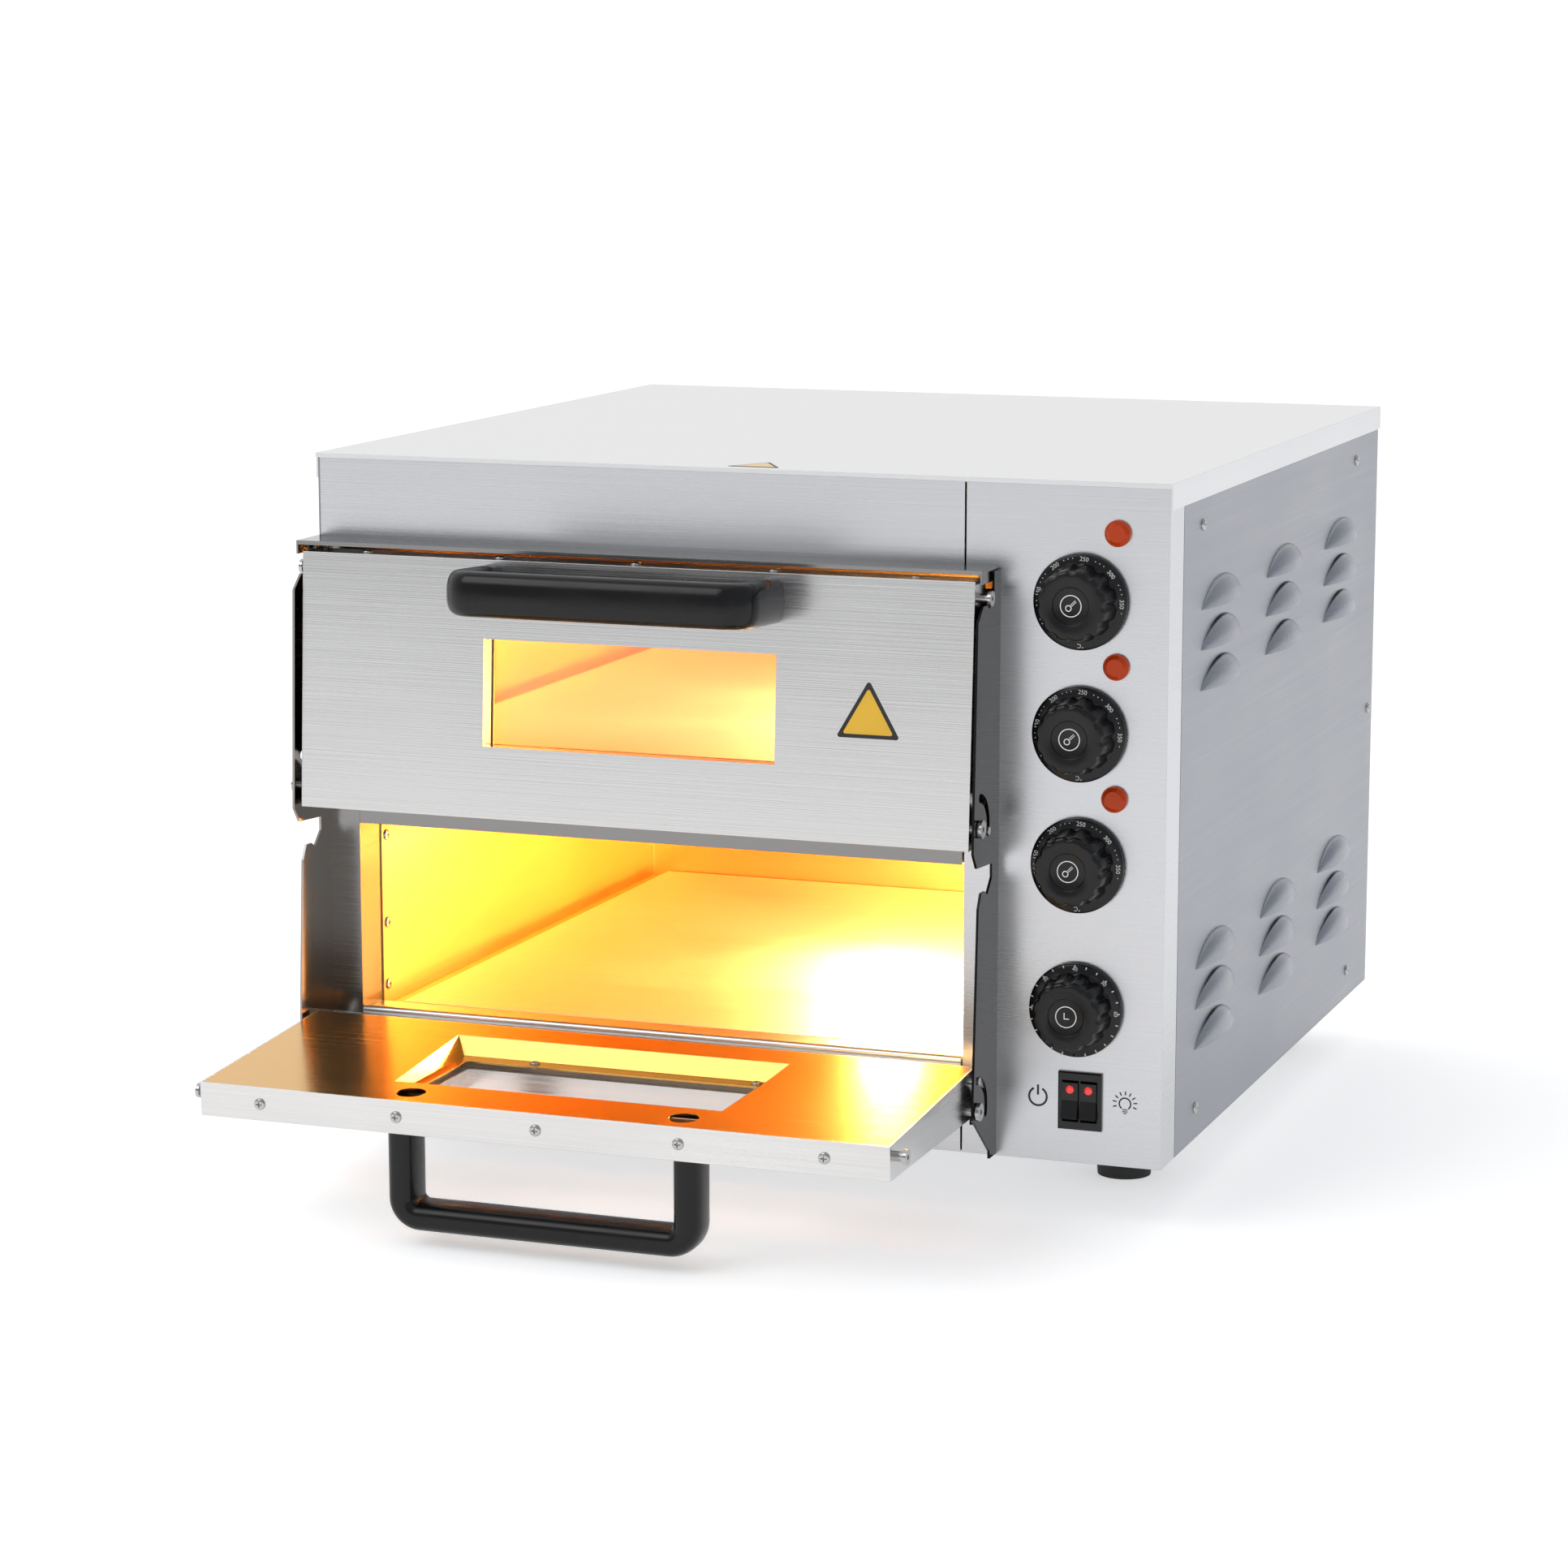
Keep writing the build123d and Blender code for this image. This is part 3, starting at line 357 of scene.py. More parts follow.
FINISHES = {
    "panel_steel": Steel("brushed_panel", (0.60, 0.605, 0.62), 0.30, strength=0.15, cloud=0.08),
    "lid_steel": Steel("satin_lid", (0.74, 0.74, 0.745), 0.36, strength=0.08),
    "door_steel": Steel("brushed_door", (0.66, 0.655, 0.645), 0.23, strength=0.15, cloud=0.08),
    "polished_steel": Steel("mirror_bracket", (0.30, 0.28, 0.26), 0.10, Grain.UPRIGHT, 0.02, 0.03),
    "screw_steel": Steel("bright_fastener", (0.46, 0.455, 0.45), 0.2, strength=0.05, edge=0.0002),
    # Cavity liners and deck: aluminised steel painted orange and pale cream; the warm colour is painted
    # lamplight from the cavity lamps.
    "cavity_steel": Steel("aluminised_cavity", (0.86, 0.55, 0.22), 0.38, strength=0.06),
    "deck_steel": Steel("heated_deck", (0.98, 0.93, 0.80), 0.46, strength=0.06, cloud=0.04),
    "element_steel": Steel("oxidised_sheath", (0.20, 0.17, 0.15), 0.5, strength=0.1, cloud=0.2),
    "galvanised": Steel("galvanised_sheet", (0.60, 0.62, 0.64), 0.42, cloud=0.14),
    "black_plastic": Moulding("handle_phenolic", (0.003, 0.003, 0.0035), 0.22, 700.0, 0.05, gloss=0.32),
    "knob_plastic": Moulding("knob_thermoset", (0.004, 0.004, 0.0045), 0.26, 900.0, 0.06, gloss=0.34),
    "control_plastic": Moulding("control_body", (0.72, 0.70, 0.64), 0.5),
    "amber": Moulding("amber_lens", (0.46, 0.042, 0.002), 0.12, 260.0, 0.25, 0.0, 0.04, gloss=0.22),
    "rocker_plastic": Moulding("switch_moulding", (0.005, 0.005, 0.005), 0.24, 800.0, 0.05, gloss=0.4),
    "foot_rubber": Moulding("foot_rubber", (0.02, 0.02, 0.02), 0.75, 500.0, 0.3),
    "gland_nylon": Moulding("gland_nylon", (0.02, 0.02, 0.02), 0.45, 700.0, 0.1),
    "wool": Moulding("mineral_wool", (0.72, 0.66, 0.48), 0.95, 260.0, 0.9),
    "socket_ceramic": Moulding("socket_ceramic", (0.86, 0.84, 0.78), 0.3, 300.0, 0.1, 0.5),
    "lens_glass": Pane("lit_lens", (1.0, 0.72, 0.30), 0.85, 4.0),
    "door_glass": Pane("door_pane", (0.95, 0.93, 0.90), 0.10),
}


class Finishes:
    """Builds each finish once and hands it out by slot."""

    def __init__(self) -> None:
        """Start with nothing built."""
        self._built: dict[str, bpy.types.Material] = {}

    def get(self, slot: str) -> bpy.types.Material:
        """Return the material of a slot.

        Args:
            slot: Name of the slot.

        Returns:
            The material.
        """
        if slot not in self._built:
            self._built[slot] = FINISHES[slot].build()
        return self._built[slot]

    def add(self, finish: Moulding | Steel) -> bpy.types.Material:
        """Build a finish that belongs to no CAD slot.

        Args:
            finish: The finish to build.

        Returns:
            The node.
        """
        if finish.name not in self._built:
            self._built[finish.name] = finish.build()
        return self._built[finish.name]


PRINT_WHITE = Moulding("dial_print", (0.80, 0.80, 0.78), 0.55, 900.0, 0.03)
PRINT_BLACK = Moulding("black_print", (0.015, 0.015, 0.015), 0.5, 900.0, 0.03)
LABEL_YELLOW = Moulding("label_yellow", (0.80, 0.47, 0.02), 0.4, 700.0, 0.03, 0.3)
LENS_RED = Moulding("red_lens", (0.75, 0.03, 0.02), 0.2, 300.0, 0.05, 0.6, 0.4)
SEAM_DARK = Moulding("seam_shadow", (0.03, 0.03, 0.03), 0.8, 600.0, 0.1)
# Side panels: brushed steel whose darker, bluish colour is painted shade for the side that faces away
# from the key lamp.
SHADED_SIDE_SHEET = Steel("brushed_side", (0.29, 0.30, 0.33), 0.34, cloud=0.08)
# Right hinge bracket: polished steel painted near black, a painted reflection of the dark surroundings
# in its mirror face.
DARK_REFLECTION_BRACKET = Steel("dark_bracket", (0.012, 0.012, 0.013), 0.14, Grain.UPRIGHT, 0.02, 0.03)
SHADED_SHEET = Steel("shaded_sheet", (0.24, 0.235, 0.23), 0.2, cloud=0.06)
# Door inner panels: steel whose orange colour is painted warm lamplight from the cavity lamps.
LAMPLIT_LINER = Steel("heated_door_liner", (0.70, 0.40, 0.11), 0.20, cloud=0.06)
NODE_FINISHES = {
    "left_side_panel": SHADED_SIDE_SHEET,
    "right_side_panel": SHADED_SIDE_SHEET,
    "right_hinge_bracket": DARK_REFLECTION_BRACKET,
    "visor": SHADED_SHEET,
    "middle_rail": SHADED_SHEET,
    "left_front_post": SHADED_SHEET,
    "lower_door_inner_panel": LAMPLIT_LINER,
    "upper_door_inner_panel": LAMPLIT_LINER,
}


class MeshWork:
    """Helpers that turn plain geometry into finished objects."""

    @staticmethod
    def link(name: str, mesh: bpy.types.Mesh, material: bpy.types.Material,
             smooth: float | None = None) -> bpy.types.Object:
        """Put a mesh in the scene with one material.

        Args:
            name: Name of the object.
            mesh: Its mesh, in the row frame.
            material: The material for every face.
            smooth: Shade smooth below this angle in degrees.

        Returns:
            The new object.
        """
        mesh.materials.clear()
        mesh.materials.append(material)
        obj = bpy.data.objects.new(name, mesh)
        bpy.context.scene.collection.objects.link(obj)
        if smooth is not None:
            mesh.shade_smooth()
            mesh.set_sharp_from_angle(angle=math.radians(smooth))
        return obj

    @staticmethod
    def from_bmesh(bm: bmesh.types.BMesh, name: str) -> bpy.types.Mesh:
        """Turn a bmesh into a mesh with outward normals.

        Args:
            bm: The mesh under construction.
            name: The name of the mesh.

        Returns:
            The mesh.
        """
        bmesh.ops.recalc_face_normals(bm, faces=bm.faces)
        mesh = bpy.data.meshes.new(name)
        bm.to_mesh(mesh)
        bm.free()
        return mesh

    @staticmethod
    def ring(bm: bmesh.types.BMesh, outline: Outline, place: Matrix,
             height: float) -> list[bmesh.types.BMVert]:
        """Add an outline's points as vertices, at a height along the place's own Z."""
        return [bm.verts.new(place @ Vector((x, y, height))) for x, y in outline]

    @staticmethod
    def skin(bm: bmesh.types.BMesh, rings: list[list[bmesh.types.BMVert]]) -> None:
        """Join a stack of rings that have the same number of vertices, and close both ends.

        Args:
            bm: The mesh under construction.
            rings: The rings, from one end to the other.
        """
        for low, high in zip(rings, rings[1:]):
            for i in range(len(low)):
                j = (i + 1) % len(low)
                bm.faces.new((low[i], low[j], high[j], high[i]))
        bm.faces.new(rings[0])
        bm.faces.new(rings[-1])

    @staticmethod
    def prism(bm: bmesh.types.BMesh, outline: Outline, place: Matrix, depth: float) -> None:
        """Add a flat prism: an outline in the local XY plane, raised along local Z."""
        MeshWork.skin(bm, [MeshWork.ring(bm, outline, place, z) for z in (0.0, depth)])

    @staticmethod
    def band(bm: bmesh.types.BMesh, outer: Outline, inner: Outline, place: Matrix,
             depth: float) -> None:
        """Add a flat closed band between two outlines with the same number of points.

        Args:
            bm: The mesh under construction.
            outer: The outer outline.
            inner: The inner outline.
            place: Where it lies and which way it faces.
            depth: How thick it is.
        """
        rings = [MeshWork.ring(bm, outline, place, z)
                 for outline, z in ((outer, 0.0), (inner, 0.0), (inner, depth), (outer, depth))]
        for a in range(4):
            b = (a + 1) % 4
            for i in range(len(outer)):
                j = (i + 1) % len(outer)
                bm.faces.new((rings[a][i], rings[a][j], rings[b][j], rings[b][i]))

    @staticmethod
    def circle(radius: float, count: int = 40, x: float = 0.0, y: float = 0.0,
               start: float = 0.0, sweep: float = 360.0) -> Outline:
        """Points of a circle or an arc.

        Args:
            radius: Its radius.
            count: How many points it has.
            x: Where its centre lies across.
            y: Where its centre lies upwards.
            start: Where it starts, in degrees.
            sweep: How far it turns, in degrees.

        Returns:
            The points.
        """
        last = count if sweep >= 360 else count - 1
        return [(x + radius * math.cos(math.radians(start + sweep * i / last)),
                 y + radius * math.sin(math.radians(start + sweep * i / last)))
                for i in range(count)]

    @staticmethod
    def arc_band(radius: float, width: float, start: float, sweep: float,
                 count: int = 24) -> Outline:
        """Outline of an open arc with a width.

        Args:
            radius: Its radius.
            width: Its width.
            start: Where it starts, in degrees.
            sweep: How far it turns, in degrees.
            count: How many points it has.

        Returns:
            The points.
        """
        outer = MeshWork.circle(radius + width / 2, count, start=start, sweep=sweep)
        inner = MeshWork.circle(radius - width / 2, count, start=start, sweep=sweep)
        return outer + inner[::-1]

    @staticmethod
    def bar(width: float, length: float, radius: float, angle: float,
            aside: float = 0.0) -> Outline:
        """Outline of a small bar that points away from the centre.

        Args:
            width: Width of the bar.
            length: Its length.
            radius: How far its middle lies from the centre.
            angle: The direction that it points in, in degrees.
            aside: How far it lies beside the line through the centre.

        Returns:
            The bar's four corners.
        """
        turn = Matrix.Rotation(math.radians(angle), 2)
        near, far = radius - length / 2, radius + length / 2
        right, left = aside - width / 2, aside + width / 2
        corners = ((near, right), (far, right), (far, left), (near, left))
        return [tuple(turn @ Vector(c)) for c in corners]

    @staticmethod
    def text(bm: bmesh.types.BMesh, words: str, size: float, place: Matrix) -> None:
        """Add flat numerals, centred on a place.

        Args:
            bm: The mesh under construction.
            words: What it says.
            size: Height of the letters.
            place: Where it lies and which way it faces.
        """
        curve = bpy.data.curves.new("numeral", "FONT")
        curve.body = words
        curve.size = size
        curve.align_x = "CENTER"
        curve.align_y = "CENTER"
        curve.extrude = 0.03 * MM
        curve.resolution_u = 3
        holder = bpy.data.objects.new("numeral", curve)
        bpy.context.scene.collection.objects.link(holder)
        mesh = bpy.data.meshes.new_from_object(holder)
        mesh.transform(place)
        bm.from_mesh(mesh)
        bpy.data.objects.remove(holder)
        bpy.data.meshes.remove(mesh)
        bpy.data.curves.remove(curve)


def facing(centre: Vector, outward: Vector) -> Matrix:
    """A placement whose local Z is outward and whose local X is as level as can be.

    Args:
        centre: Its origin.
        outward: Which way it faces.

    Returns:
        The placement.
    """
    z = outward.normalized()
    x = Vector((1, 0, 0)) if abs(z.x) < 0.9 else Vector((0, 1 if z.x > 0 else -1, 0))
    x = (x - z * x.dot(z)).normalized()
    y = z.cross(x)
    turn = Matrix((x, y, z)).transposed().to_4x4()
    return Matrix.Translation(centre) @ turn


def islands(node: bpy.types.Object) -> list[tuple[Vector, Vector]]:
    """Lowest and highest corner of each separate solid of a node.

    Args:
        node: The CAD piece.

    Returns:
        The two corners of each solid.
    """
    bm = bmesh.new()
    bm.from_mesh(node.data)
    bmesh.ops.remove_doubles(bm, verts=bm.verts, dist=1e-6)
    seen: set[int] = set()
    boxes = []
    for vert in bm.verts:
        if vert.index in seen:
            continue
        stack, found = [vert], []
        seen.add(vert.index)
        while stack:
            current = stack.pop()
            found.append(current.co.copy())
            for edge in current.link_edges:
                other = edge.other_vert(current)
                if other.index not in seen:
                    seen.add(other.index)
                    stack.append(other)
        boxes.append((Vector(map(min, zip(*found))), Vector(map(max, zip(*found)))))
    bm.free()
    return boxes


@dataclass
class ScrewField:
    """Cross-head screws, one instance of a modelled head per place, by Geometry Nodes."""

    radius: float = 3.7 * MM
    height: float = 1.6 * MM
    sides: int = 48
    cross_reach: float = 0.5
    cross_half_width: float = 0.11
    socket_reach: float = 0.42
    recess_taper: float = 0.3
    recess_floor: float = 0.15

    def recess(self, angle: float, socket: bool) -> float:
        """Reach of the recess in one direction, as a share of the head's radius.

        Args:
            angle: The direction, in radians.
            socket: True for a hexagon socket.

        Returns:
            The reach, from 0 to 1.
        """
        if socket:
            sixth, half = math.radians(60), math.radians(30)
            part = half - abs(math.fmod(angle, sixth) - half)
            return self.socket_reach * math.cos(half) / math.cos(half - part)
        near = abs(math.fmod(angle + math.pi / 4, math.pi / 2) - math.pi / 4)
        width, reach = self.cross_half_width, self.cross_reach
        return min(reach, width / max(math.sin(near), width / reach))

    def head(self, socket: bool) -> bpy.types.Object:
        """Model one domed head with a cross or a hexagon recess.

        Args:
            socket: True for a hexagon recess.

        Returns:
            A hidden object that holds the head.
        """
        bm = bmesh.new()
        angles = [2 * math.pi * i / self.sides for i in range(self.sides)]
        profile = [(1.0, -1.9), (1.0, 0.25), (0.97, 0.5), (0.86, 0.78), (0.68, 0.94), (0.5, 1.0)]
        rings = [[bm.verts.new((r * self.radius * math.cos(a), r * self.radius * math.sin(a),
                                h * self.height)) for a in angles] for r, h in profile]
        for depth in (1.0, self.recess_floor):
            size = self.radius * (1.0 - self.recess_taper * (1.0 - depth))
            rings.append([bm.verts.new((self.recess(a, socket) * size * math.cos(a),
                                        self.recess(a, socket) * size * math.sin(a),
                                        depth * self.height)) for a in angles])
        MeshWork.skin(bm, rings)
        mesh = MeshWork.from_bmesh(bm, "screw_head")
        mesh.shade_smooth()
        mesh.set_sharp_from_angle(angle=math.radians(35))
        return bpy.data.objects.new("screw_head", mesh)

    def scatter(self, name: str, places: list[Vector], outward: Vector,
                material: bpy.types.Material, socket: bool = False) -> bpy.types.Object:
        """Instance the head at every place and return one plain mesh object.

        Args:
            name: Name of the finished object.
            places: Centres of the heads' undersides.
            outward: Direction the heads face.
            material: Their material.
            socket: True for hexagon sockets.

        Returns:
            The finished object.
        """
        head = self.head(socket)
        group = bpy.data.node_groups.new(f"{name}_nodes", "GeometryNodeTree")
        ports = group.interface
        ports.new_socket("Geometry", in_out="INPUT", socket_type="NodeSocketGeometry")
        ports.new_socket("Head", in_out="INPUT", socket_type="NodeSocketObject")
        ports.new_socket("Direction", in_out="INPUT", socket_type="NodeSocketVector")
        ports.new_socket("Finish", in_out="INPUT", socket_type="NodeSocketMaterial")
        ports.new_socket("Geometry", in_out="OUTPUT", socket_type="NodeSocketGeometry")
        nodes, links = group.nodes, group.links
        source, sink = nodes.new("NodeGroupInput"), nodes.new("NodeGroupOutput")
        info = nodes.new("GeometryNodeObjectInfo")
        align = nodes.new("FunctionNodeAlignRotationToVector")
        align.axis = "Z"
        place = nodes.new("GeometryNodeInstanceOnPoints")
        real = nodes.new("GeometryNodeRealizeInstances")
        paint = nodes.new("GeometryNodeSetMaterial")
        links.new(source.outputs["Geometry"], place.inputs["Points"])
        links.new(source.outputs["Head"], info.inputs["Object"])
        links.new(info.outputs["Geometry"], place.inputs["Instance"])
        links.new(source.outputs["Direction"], align.inputs["Vector"])
        links.new(align.outputs["Rotation"], place.inputs["Rotation"])
        links.new(place.outputs["Instances"], real.inputs["Geometry"])
        links.new(real.outputs["Geometry"], paint.inputs["Geometry"])
        links.new(source.outputs["Finish"], paint.inputs["Material"])
        links.new(paint.outputs["Geometry"], sink.inputs["Geometry"])
        base = bpy.data.meshes.new("places")
        base.from_pydata([tuple(p) for p in places], [], [])
        holder = bpy.data.objects.new("places", base)
        bpy.context.scene.collection.objects.link(holder)
        modifier = holder.modifiers.new("screws", "NODES")
        modifier.node_group = group
        keys = {item.name: item.identifier for item in ports.items_tree if item.in_out == "INPUT"}
        modifier[keys["Head"]] = head
        modifier[keys["Direction"]] = tuple(outward)
        modifier[keys["Finish"]] = material
        depsgraph = bpy.context.evaluated_depsgraph_get()
        mesh = bpy.data.meshes.new_from_object(holder.evaluated_get(depsgraph))
        bpy.data.objects.remove(holder)
        bpy.data.objects.remove(head)
        return MeshWork.link(name, mesh, material)


@dataclass
class DoorFrame:
    """Where one door's own places lie in the row frame."""

    name: str
    opened: float

    height: float = 161 * MM
    thickness: float = 30 * MM
    lean_back: float = 9 * MM
    pivot_to_inner: float = 24 * MM
    pivot_rise: float = 13 * MM

    def __post_init__(self) -> None:
        """Find the door's pivot and outline from its joint."""
        self.pivot = joint_place(f"{self.name}_door_hinge")
        self.inner = self.pivot.y + self.pivot_to_inner
        self.bottom = self.pivot.z - self.pivot_rise
        self.slope = self.lean_back / self.height
        self.lean = math.atan(self.slope)

    def place(self, x: float, rise: float, out: float = 0.0) -> Vector:
        """A point on the leaning outer face, moved out along its normal, all in metres.

        Args:
            x: X of the point in the row frame.
            rise: Height above the door's bottom edge, along the face.
            out: Distance outwards from the face.

        Returns:
            The point as it lies at rest.
        """
        y = self.inner - self.thickness + self.slope * rise
        shut = Vector((x, y, self.bottom + rise)) + out * Vector(
            (0, -math.cos(self.lean), math.sin(self.lean)))
        return self.swing(shut)

    def outward(self) -> Vector:
        """Which way the outer face looks at rest."""
        return self.place(0, 0, 1.0) - self.place(0, 0)

    def swing(self, shut: Vector) -> Vector:
        """Where a point of the shut door lies at rest."""
        turn = Matrix.Rotation(math.radians(self.opened), 3, "X")
        return self.pivot + turn @ (shut - self.pivot)

    def direction(self, shut: Vector) -> Vector:
        """Which way a direction of the shut door points at rest."""
        return Matrix.Rotation(math.radians(self.opened), 3, "X") @ shut


@dataclass
class Handle:
    """A moulded D handle with a full, rounded section."""

    door: DoorFrame
    length: float = 202 * MM
    reach: float = 62 * MM
    height: float = 28 * MM
    thickness: float = 18 * MM
    bend: float = 11.5 * MM
    power: float = 2.7
    middle: float = -51 * MM
    rise: float = 144 * MM
    gap: float = 0.2 * MM
    bend_steps: int = 12
    sides: int = 40

    def line(self) -> list[tuple[float, float, float]]:
        """Centre line as x, reach and heading in degrees.

        Returns:
            The points, in order.
        """
        x = self.length / 2 - self.thickness / 2
        top = self.reach - self.thickness / 2
        points = [(-x, d, 90.0) for d in (self.gap, 6 * MM, 20 * MM, top - self.bend)]
        for i in range(1, self.bend_steps + 1):
            turned = 90.0 * i / self.bend_steps
            a = math.radians(turned)
            points.append((-x + self.bend * (1 - math.cos(a)), top - self.bend * (1 - math.sin(a)),
                           90.0 - turned))
        points += [(-30 * MM, top, 0.0), (30 * MM, top, 0.0)]
        return points + [(-px, d, -h) for px, d, h in points[:-2][::-1]]

    def build(self, finishes: Finishes) -> bpy.types.Object:
        """Sweep the section along the line and hang it on the door.

        Args:
            finishes: The finishes.

        Returns:
            The handle.
        """
        bm = bmesh.new()
        rings = []
        origin = self.door.place(self.middle, self.rise)
        along = self.door.direction(Vector((0, math.sin(self.door.lean), math.cos(self.door.lean))))
        out = self.door.outward()
        for x, reach, heading in self.line():
            tilt = math.radians(heading)
            side = Vector((1, 0, 0)) * -math.sin(tilt) + out * math.cos(tilt)
            ring = []
            for i in range(self.sides):
                a = 2 * math.pi * i / self.sides
                c, s = math.cos(a), math.sin(a)
                u = math.copysign(abs(c) ** (2 / self.power), c) * self.thickness / 2
                v = math.copysign(abs(s) ** (2 / self.power), s) * self.height / 2
                ring.append(bm.verts.new(origin + Vector((x, 0, 0)) + out * reach
                                         + side * u + along * v))
            rings.append(ring)
        MeshWork.skin(bm, rings)
        obj = MeshWork.link(f"{self.door.name}_handle_grip", MeshWork.from_bmesh(bm, "grip"),
                            finishes.get("black_plastic"), 50)
        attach(obj, f"{self.door.name}_door")
        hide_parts(f"{self.door.name}_door_handle")
        return obj


@dataclass
class Door:
    """One door: its handle, edge screws and label."""

    name: str
    opened: float
    label: bool = False
    middle: float = -51 * MM
    edge_pitch: float = 90.5 * MM
    edge_depth: float = 10.5 * MM
    ledge_rise: float = 38 * MM
    ledge_depth: float = 17.2 * MM
    ledge_ends: tuple[float, float] = (-105 * MM, 42 * MM)
    label_across: float = 105 * MM
    label_rise: float = 76 * MM
    label_radius: float = 23.5 * MM
    frame: DoorFrame = field(init=False)

    def __post_init__(self) -> None:
        """Set up the door's own places."""
        self.frame = DoorFrame(self.name, self.opened)

    def edge_screws(self, finishes: Finishes) -> None:
        """Button heads along the free edge.

        Args:
            finishes: The finishes.
        """
        outward = self.frame.direction(Vector((0, 0, 1)))
        y = self.frame.inner - self.edge_depth
        z = self.frame.bottom + self.frame.height
        places = [self.frame.swing(Vector((self.middle + k * self.edge_pitch, y, z)))
                  for k in range(-2, 3)]
        obj = ScrewField(3.6 * MM, 1.5 * MM).scatter(f"{self.name}_edge_heads", places, outward,
                                                     finishes.get("screw_steel"))
        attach(obj, f"{self.name}_door")
        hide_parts(f"{self.name}_door_edge_screws")

    def recess_screws(self, finishes: Finishes) -> None:
        """Two screws in the ledge of the window recess, on the inner face.

        Args:
            finishes: The finishes.
        """
        places = [self.frame.place(x, self.ledge_rise, -self.ledge_depth) for x in self.ledge_ends]
        obj = ScrewField(3.2 * MM, 1.4 * MM).scatter(f"{self.name}_recess_heads", places,
                                                     -self.frame.outward(),
                                                     finishes.get("screw_steel"))
        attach(obj, f"{self.name}_door")

    def warning_triangle(self, finishes: Finishes) -> None:
        """A plain yellow triangle with a black rim and rounded corners.

        Args:
            finishes: The finishes.
        """
        centre = self.frame.place(self.label_across, self.label_rise, PRINT_DEPTH)
        triangle_label("door_label", facing(centre, self.frame.outward()), self.label_radius,
                       finishes, f"{self.name}_door")

    def build(self, finishes: Finishes) -> None:
        """Add everything that rides on the door.

        Args:
            finishes: The finishes.
        """
        Handle(self.frame).build(finishes)
        self.edge_screws(finishes)
        self.recess_screws(finishes)
        if self.label:
            self.warning_triangle(finishes)


def triangle_label(name: str, place: Matrix, radius: float, finishes: Finishes, body: str) -> None:
    """Add a triangular sticker: a black rounded triangle with a yellow one on it.

    Args:
        name: Name of the sticker.
        place: Its centre and facing.
        radius: Distance from its centre to a corner.
        finishes: The finishes.
        body: The body it rides on.
    """
    film = 0.12 * MM
    field_share = 0.80
    corner_share = 0.06

    def outline(size: float) -> Outline:
        """A triangle that points up, with rounded corners.

        Args:
            size: Distance from its centre to a corner.

        Returns:
            The points.
        """
        corner = size * corner_share
        reach = size - 2 * corner
        points = []
        for angle in (90, 210, 330):
            turn = math.radians(angle)
            points += MeshWork.circle(corner, 8, reach * math.cos(turn), reach * math.sin(turn),
                                      angle - 60, 120)
        return points

    for part, size, lift, finish in (("rim", radius, 0.0, PRINT_BLACK),
                                     ("field", radius * field_share, film, LABEL_YELLOW)):
        bm = bmesh.new()
        MeshWork.prism(bm, outline(size), place @ Matrix.Translation((0, 0, lift)), film)
        obj = MeshWork.link(f"{name}_{part}", MeshWork.from_bmesh(bm, part), finishes.add(finish))
        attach(obj, body)


